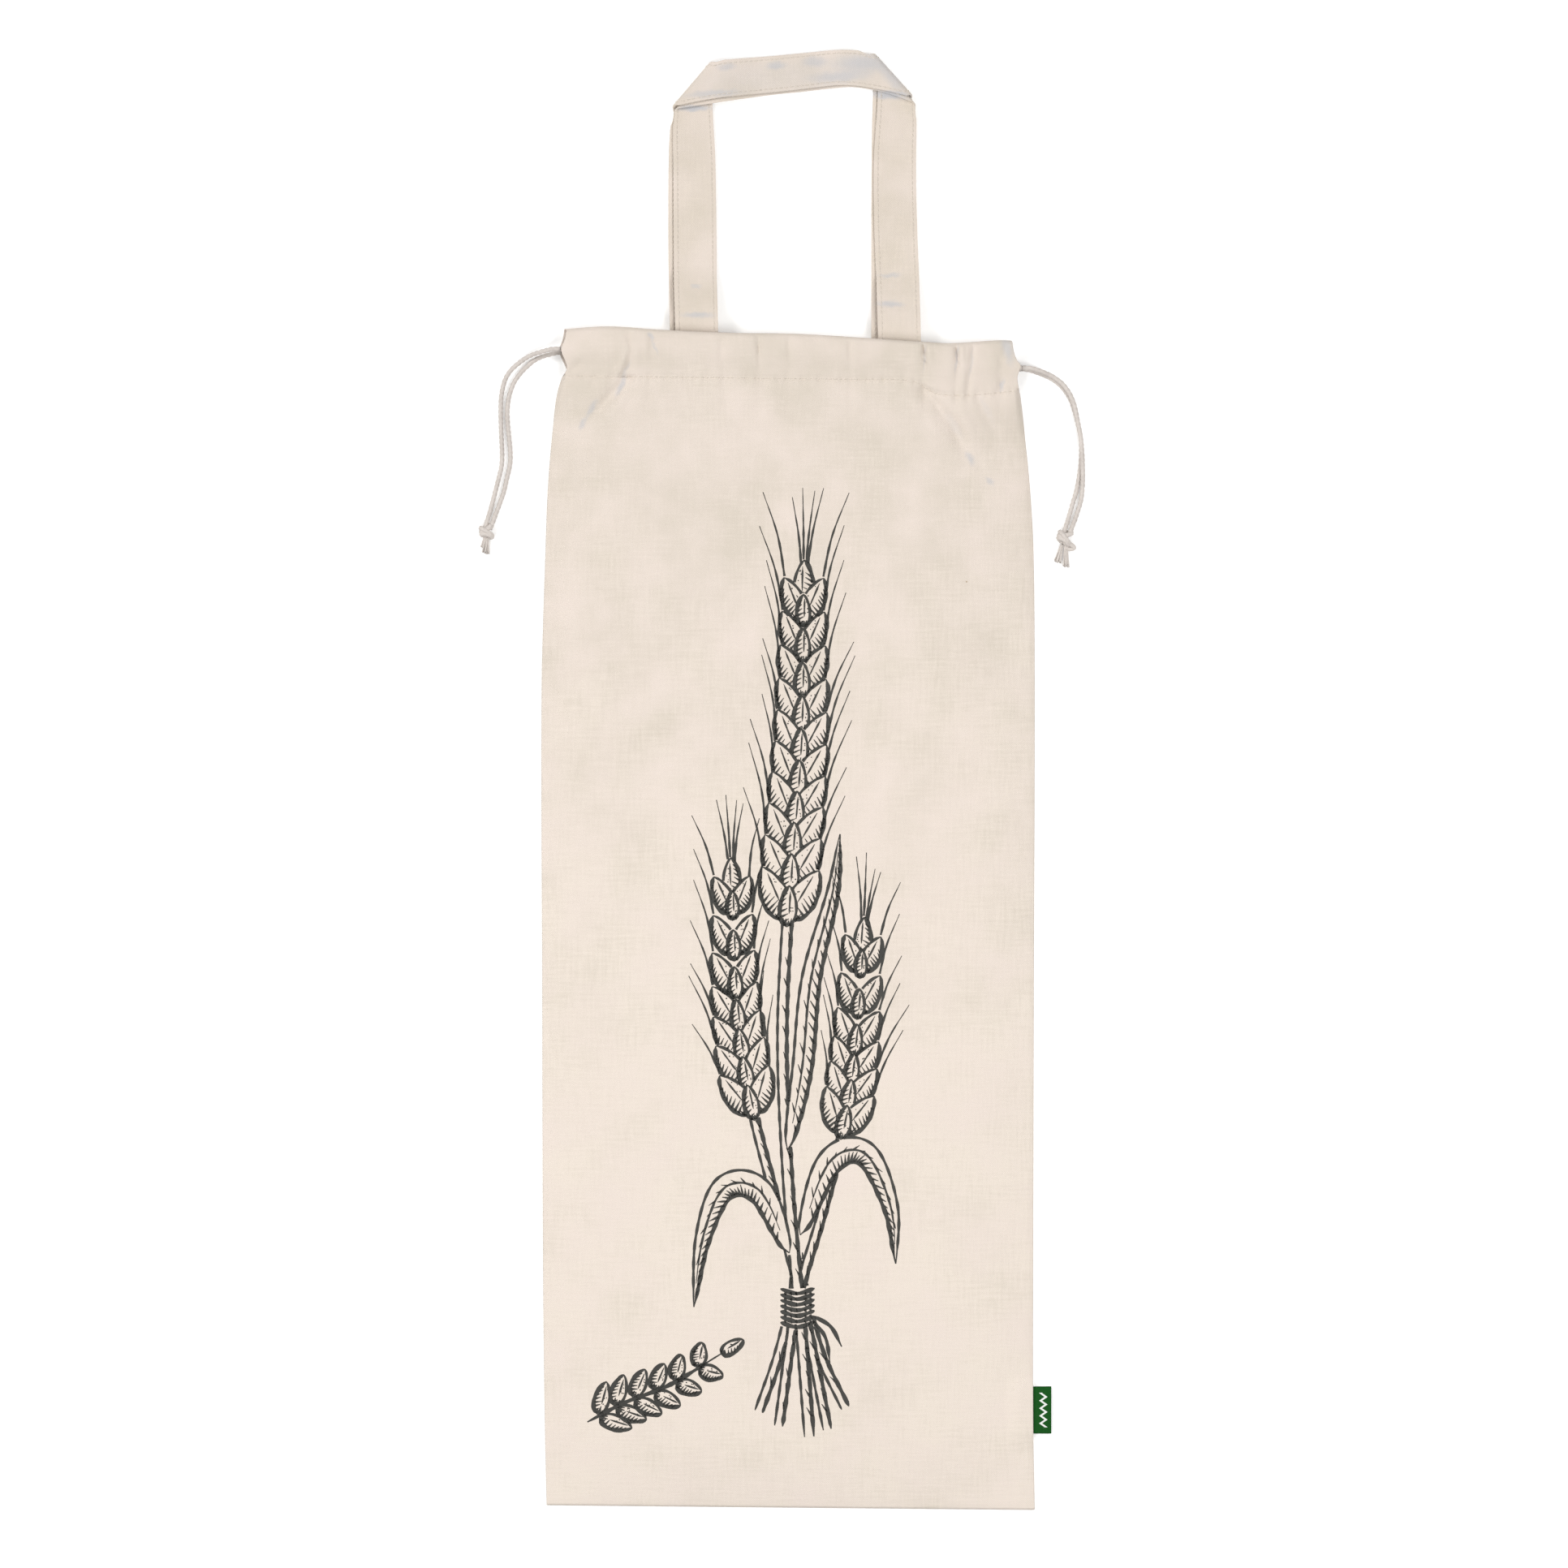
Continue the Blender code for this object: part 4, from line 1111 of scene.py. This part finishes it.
hem_thread = bmesh.new()
stitched = [(-129.0 + 251.0 * k / 240) * MM for k in range(241)]
route = [front_at(x, stitch_y(x) + 0.15 * MM) for x in stitched]
route = [point for point in route if point is not None and point.z > 1.2 * MM]
stitch_row(hem_thread, route, [Vector((0, 0, 1))] * len(route))
stitched = [(-128.0 + 249.0 * k / 120) * MM for k in range(121)]
route = [Vector((x, stitch_y(x), 0.1 * MM)) for x in stitched]
stitch_row(hem_thread, route, [Vector((0, 0, -1))] * len(route))
hem_stitches = finished("hem_stitches", hem_thread, thread_cotton)
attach(hem_stitches, "root")

strap_thread = bmesh.new()
for rows in (front_strap_rows, back_strap_rows):
    for share in (STRAP_ROW, -STRAP_ROW):
        for face in (1, -1):
            route, outward = [], []
            middle = [strap_point(row, share) for row in rows]
            inner = [strap_point(row, share * 0.9) for row in rows]
            for k, point in enumerate(middle):
                out = (inner[k] - point).cross(direction(middle, k)).normalized() * face
                route.append(point + out * STRAP / 2)
                outward.append(out)
            stitch_row(strap_thread, route, outward)
strap_stitches = finished("strap_stitches", strap_thread, thread_cotton)
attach(strap_stitches, "root")

# Side label: a strip of green woven tape folded in two, its raw ends caught in the right
# side seam. Light threads weave a plain zigzag into it.

LABEL_COLOUR = (0.008, 0.098, 0.011, 1)
LABEL_DARK = (0.004, 0.06, 0.006, 1)
LABEL_LIGHT = (0.8, 0.82, 0.78, 1)
LABEL_SIZE = Vector((15.2, 26.0, 1.0)) * MM
LABEL_CENTRE = Vector((133.8, LABEL_MIDDLE, 1.8)) * MM
TAPE = 0.42 * MM
TAPE_RIB = 0.5 * MM
TAPE_PICK = 0.36 * MM
ZIGZAG_PITCH = 4.2 * MM
ZIGZAG_REACH = 6.0 * MM
ZIGZAG_LEFT = 135.4 * MM
ZIGZAG_HALF_WIDTH = 0.85 * MM
ZIGZAG_HALF_LENGTH = 9.6 * MM

label_rows, label_columns = 27, 29
label_start = LABEL_CENTRE.x - LABEL_SIZE.x / 2
label_fold_r = (LABEL_SIZE.z - TAPE) / 2
label_flat = LABEL_SIZE.x - label_fold_r - TAPE / 2


def label_point(row, column):
    """The folded tape: out under the seam, round its fold and back on top."""
    across_share = row / (label_rows - 1) - 0.5
    y = LABEL_CENTRE.y + across_share * LABEL_SIZE.y
    middle = (label_columns - 1) // 2
    bowed = 0.25 * MM * math.cos(across_share * 5.0)
    if abs(column - middle) <= 4:
        turn = math.pi / 2 * (column - middle) / 4
        x = label_start + label_flat + label_fold_r * math.cos(turn)
        z = LABEL_CENTRE.z + label_fold_r * math.sin(turn)
        free = 1.0
    else:
        side = 1 if column > middle else -1
        free = 1 - (abs(column - middle) - 4) / (middle - 4)
        x = label_start + label_flat * free
        z = LABEL_CENTRE.z + side * label_fold_r
    return Vector((x, y + 0.2 * MM * free * across_share, z + bowed * eased(free)))


side_tape = cloth_grid("side_tape", label_rows, label_columns, label_point, TAPE)
tape_weave, tape_shader = new_material("green_tape", Roughness=0.62, Specular_IOR_Level=0.15)
tape_place = add_node("SeparateXYZ", {"Vector": own_place(tape_shader.id_data)})
tape_height = maths("MULTIPLY_ADD", waves(tape_place["Y"], TAPE_RIB), 0.5, 0.5)
tape_height = maths("ADD", tape_height, waves(tape_place["X"], TAPE_PICK))
zigzag = maths("MULTIPLY", tape_place["Y"], 1 / ZIGZAG_PITCH)
zigzag = maths("PINGPONG", zigzag, 0.5)
zigzag = maths("MULTIPLY_ADD", zigzag, ZIGZAG_REACH, ZIGZAG_LEFT)
off_line = maths("ABSOLUTE", maths("SUBTRACT", tape_place["X"], zigzag))
on_line = maths("LESS_THAN", off_line, ZIGZAG_HALF_WIDTH)
from_middle = maths("ABSOLUTE", maths("SUBTRACT", tape_place["Y"], LABEL_CENTRE.y))
in_field = maths("LESS_THAN", from_middle, ZIGZAG_HALF_LENGTH)
on_line = maths("MULTIPLY", on_line, in_field)
tape_tone = mixed(tape_height, LABEL_DARK, LABEL_COLOUR)
tape_tone = mixed(on_line, tape_tone, LABEL_LIGHT)
dress(tape_shader, tape_tone, tape_height, 0.6, 0.12 * MM)
side_tape.data.materials.append(tape_weave)
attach(side_tape, "root")
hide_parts("side_label")

# Print: charcoal ink screened on the front panel. A tall sheaf of wheat in pen strokes
# fills the middle, and a small leafy sprig lies beside its foot.

INK_COLOUR = (0.034, 0.034, 0.031, 1)
INK_WORN = (0.085, 0.082, 0.074, 1)
INK_LIFT = 0.1 * MM
INK_STEP = 1.25
PEN_WIDTH = 1.32

pen = random.Random(12)
strokes = []
dots = []


def pen_line(points, wide, taper=(0.25, 0.25)):
    """A pen stroke through points in plan, thinner at its ends and a little uneven."""
    route = smooth_route([Vector((x, y, 0)) for x, y in points], INK_STEP)
    wave = pen.uniform(0, 6)
    stroke = []
    for k, point in enumerate(route):
        share = k / (len(route) - 1)
        press = 1 + 0.16 * math.sin(k * 0.8 + wave) + pen.uniform(-0.07, 0.07)
        if taper[0]:
            press *= 0.3 + 0.7 * eased(share / taper[0])
        if taper[1]:
            press *= 0.3 + 0.7 * eased((1 - share) / taper[1])
        stroke.append((point.x, point.y, PEN_WIDTH * wide * press))
    strokes.append(stroke)


def inside(outline, x, y):
    within = False
    for (x0, y0), (x1, y1) in zip(outline, outline[1:] + outline[:1]):
        if (y0 > y) != (y1 > y) and x < x0 + (x1 - x0) * (y - y0) / (y1 - y0):
            within = not within
    return within


def cover(outline):
    """Takes away what earlier strokes drew inside an outline that lies in front of them."""
    low_x, high_x = min(x for x, y in outline), max(x for x, y in outline)
    low_y, high_y = min(y for x, y in outline), max(y for x, y in outline)

    def hidden(x, y):
        return low_x < x < high_x and low_y < y < high_y and inside(outline, x, y)

    kept = []
    for stroke in strokes:
        run = []
        for sample in stroke:
            if hidden(sample[0], sample[1]):
                if len(run) > 1:
                    kept.append(run)
                run = []
            else:
                run.append(sample)
        if len(run) > 1:
            kept.append(run)
    strokes[:] = kept
    dots[:] = [dot for dot in dots if not hidden(dot[0], dot[1])]


def turned(origin, heading, along, sideways):
    """A place given along and beside a heading from an origin, in plan."""
    return (
        origin[0] + math.sin(heading) * along + math.cos(heading) * sideways,
        origin[1] + math.cos(heading) * along - math.sin(heading) * sideways,
    )


def grain(origin, heading, length, wide, shade_side, hatches=9):
    """One grain in its husk: outline, dark lower side, crease, hatching and dots."""
    def edge(t, side):
        swell = math.sin(math.pi * t**0.8) ** 0.72
        return turned(origin, heading, length * t, side * wide / 2 * swell)

    sides = {side: [edge(t / 10, side) for t in range(11)] for side in (1, -1)}
    cover(sides[1] + sides[-1][::-1])
    for side in (1, -1):
        pen_line(sides[side], 1.75 if side == shade_side else 1.2, (0.15, 0.1))
    for n in range(hatches):
        t = 0.1 + 0.74 * n / hatches
        start = edge(t, shade_side)
        depth = wide * (0.5 - 0.055 * abs(n - 2)) * pen.uniform(0.75, 1.1)
        end = turned(start, heading, length * 0.1, -shade_side * depth)
        pen_line([start, end], 1.0, (0, 0.8))
    for n in range(4):
        start = turned(origin, heading, length * 0.03, wide * (0.12 * n - 0.18))
        end = turned(start, heading, length * pen.uniform(0.12, 0.24), wide * (0.05 * n - 0.08))
        pen_line([start, end], 1.15, (0, 0.8))
    pen_line([turned(origin, heading, length * t, -shade_side * wide * 0.08)
              for t in (0.32, 0.55, 0.86)], 0.75)
    for _ in range(5):
        t = pen.uniform(0.3, 0.8)
        place = turned(origin, heading, length * t, -shade_side * wide * pen.uniform(0.14, 0.34))
        dots.append((*place, pen.uniform(0.6, 0.9)))


def heading_of(stem, t):
    here, ahead = stem(t), stem(t + 0.01)
    return math.atan2(ahead[0] - here[0], ahead[1] - here[1])


def bristle(start, leaving, ending, reach, taper):
    """An awn in one pen line that bends a little from its foot to its tip."""
    middle = turned(start, leaving, reach * 0.5, 0)
    pen_line([start, middle, turned(start, ending, reach, 0)], 1.0, (0, taper))


def wheat_ear(stem, first, pairs, length, wide, awn):
    """An ear drawn from its tip down, so that each pair of grains overlaps the one above."""
    tip = stem(1 - 0.6 * (1 - first) / pairs)
    lean = heading_of(stem, 0.985)
    for side in (-0.14, -0.03, 0.09, 0.17):
        start = turned(tip, lean, length * 0.5, side * 8)
        bristle(start, lean + side * 0.7, lean + side, awn * pen.uniform(0.85, 1.1), 0.7)
    grain(tip, lean, length * 0.8, wide * 0.72, 1, 7)
    for n in reversed(range(pairs)):
        share = n / pairs
        here = stem(first + (1 - first) * share)
        lean = heading_of(stem, first + (1 - first) * share)
        size = 1 - 0.25 * share**2
        pair = []
        for side in (-1, 1):
            start = turned(here, lean, 0, side * 1.2)
            heading = lean + side * math.radians(27 - 5 * share)
            pair.append((start, heading, length * size, wide * size, side))
            end = turned(start, heading, length * size * 0.93, 0)
            out = lean + side * math.radians(pen.uniform(9, 17))
            reach = awn * pen.uniform(0.8, 1.05)
            bristle(end, out - side * 0.05, out + side * 0.03, reach, 0.75)
        for sizes in pair:
            grain(*sizes)
        grain(turned(here, lean, -length * 0.12, 0), lean, length * size * 0.72,
              wide * size * 0.62, -1, 6)


def stem_through(points):
    """Reads a stem's curve by its share from foot to tip."""
    table = [(k / (len(points) - 1), x, y) for k, (x, y) in enumerate(points)]

    def at(t):
        if t > 1:
            x0, y0 = read(table, 0.99, 1), read(table, 0.99, 2)
            x1, y1 = table[-1][1:]
            return x1 + (x1 - x0) * (t - 1) * 100, y1 + (y1 - y0) * (t - 1) * 100
        return read(table, t, 1), read(table, t, 2)

    return at


def straw(stem, until, wide, count=48):
    """A stem drawn as two lines with short shade strokes between."""
    places = [(stem(until * k / count), heading_of(stem, until * k / count))
              for k in range(count + 1)]
    sides = {
        side: [turned(here, lean, 0, side * wide / 2) for here, lean in places]
        for side in (-1, 1)
    }
    cover(sides[1] + sides[-1][::-1])
    pen_line(sides[1], 1.7, (0.02, 0.05))
    pen_line(sides[-1], 1.15, (0.02, 0.05))
    for k in range(2, count, 2):
        here, lean = places[k]
        start = turned(here, lean, pen.uniform(-1, 1), wide / 2)
        end = turned(start, lean, 5.5, -wide * pen.uniform(0.3, 0.6))
        pen_line([start, end], 0.9, (0, 0.7))


def hatch(start, aim, share, wide):
    """A short pen stroke that stops a share of the way to its aim."""
    end = tuple(a + (b - a) * share for a, b in zip(start, aim))
    pen_line([start, end], wide, (0, 0.7))


def leaf(points, wide, shade_side):
    """A long blade of leaf: two edges, a vein, and hatching on its shaded side."""
    vein = stem_through(points)
    count = 34
    edges = {1: [], -1: []}
    for k in range(count + 1):
        t = k / count
        swell = math.sin(math.pi * min(t, 0.999) ** 0.65) ** 0.85
        for side in (-1, 1):
            edges[side].append(turned(vein(t), heading_of(vein, t), 0, side * wide / 2 * swell))
    cover(edges[1] + edges[-1][::-1])
    for side in (-1, 1):
        pen_line(edges[side], 1.75 if side == shade_side else 1.2, (0.06, 0.1))
    pen_line([vein(k / 12) for k in range(1, 12)], 1.0)
    for k in range(2, count - 1):
        middle = vein(min(k / count + 0.035, 1.0))
        hatch(edges[shade_side][k], middle, pen.uniform(0.55, 0.9), 1.0)
    for k in range(4, count - 4, 2):
        hatch(vein(k / count), edges[-shade_side][k + 2], pen.uniform(0.25, 0.5), 0.75)


tall_stem = stem_through(
    ((7, -364), (2, -300), (-5, -220), (-8, -140), (-4, -60), (2, 20),
     (4, 108))
)
left_stem = stem_through(
    ((17, -360), (3, -290), (-12, -232), (-25, -180), (-33, -125),
     (-36, -52))
)
right_stem = stem_through(
    ((-10, -358), (0, -290), (14, -240), (25, -196), (32, -150),
     (37, -84))
)
left_foot = stem_through(((-21, -350), (-10, -318), (-2, -284), (0, -262)))
right_foot = stem_through(((27, -348), (13, -318), (4, -284), (1, -262)))
straw(left_foot, 1, 4.4, 14)
straw(right_foot, 1, 4.4, 14)
straw(right_stem, 0.62, 4.4)
straw(left_stem, 0.60, 4.4)
straw(tall_stem, 0.66, 5.2)
leaf(((2, -252), (18, -212), (38, -207), (52, -236), (55, -268)), 14, 1)
leaf(((-4, -262), (-20, -228), (-40, -226), (-52, -254), (-57, -292)), 14, -1)
leaf(((-5, -205), (3, -160), (8, -110), (20, -62), (24, -30)), 11, 1)
wheat_ear(right_stem, 0.60, 6, 27, 12.5, 40)
wheat_ear(left_stem, 0.58, 7, 28, 13, 42)
wheat_ear(tall_stem, 0.63, 10, 32, 15, 52)
cover([(-8.6, -283), (9.8, -281), (9, -300.5), (-8.2, -302)])
for k in range(7):
    y = -283 - 3.1 * k
    pen_line([(-9, y + 1.1), (0.5, y - 1.5), (10, y + 1.4)], 1.8, (0.08, 0.08))
    if k < 6:
        for x in (-6.5, -3.5, -0.5, 4.5, 7.5):
            pen_line([(x, y - 0.8), (x + 0.8, y - 2.6)], 1, (0, 0.5))
pen_line([(9.5, -297), (19, -303), (25, -314)], 1.7, (0.1, 0.3))
pen_line([(9, -299.5), (16, -309), (18.5, -323)], 1.5, (0.1, 0.3))

sprig = stem_through(((-116, -356), (-95, -345), (-70, -335), (-42, -318)))
pen_line([sprig(k / 16) for k in range(17)], 1.8, (0.1, 0.3))
for k in reversed(range(6)):
    t = 0.1 + 0.15 * k
    lean = heading_of(sprig, t)
    for side in (-1, 1):
        grain(turned(sprig(t), lean, 0, side * 1), lean + side * math.radians(46),
              19 - 1 * k, 8.2, side, 7)
grain(sprig(1), math.radians(58), 15, 6.8, 1, 6)

ink = bmesh.new()


def ink_at(x, y):
    return ink.verts.new(front_at(x * MM, y * MM) + Vector((0, 0, INK_LIFT)))


for stroke in strokes:
    places = [Vector((x, y, 0)) for x, y, wide in stroke]
    rims = []
    for k, place in enumerate(places):
        reach = across(direction(places, k)) * stroke[k][2] / 2
        rims.append([ink_at(*(place + reach * side).xy) for side in (1, -1)])
    for (a, b), (c, d) in zip(rims, rims[1:]):
        ink.faces.new((a, b, d, c))
for x, y, wide in dots:
    turns = [math.pi * n / 3 for n in range(6)]
    reach = wide / 2
    ink.faces.new([ink_at(x + reach * math.cos(a), y + reach * math.sin(a)) for a in turns])

screen_ink, ink_shader = new_material("screened_ink", Specular_IOR_Level=0.2)
ink_weave = woven(ink_shader, 0.55, 1)
ink_worn = maths("MULTIPLY", ink_weave["Clouds"], 0.7)
ink_tone = mixed(ink_worn, INK_COLOUR, INK_WORN)
ink_rough = maths("MULTIPLY_ADD", ink_weave["Height"], 0.12, 0.8)
dress(ink_shader, ink_tone, ink_weave["Height"], 0.4, RELIEF, ink_rough)

wheat_print = in_scene("wheat_print", bpy.data.meshes.new("wheat_print"))
ink.to_mesh(wheat_print.data)
ink.free()
wheat_print.data.materials.append(screen_ink)
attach(wheat_print, "root")
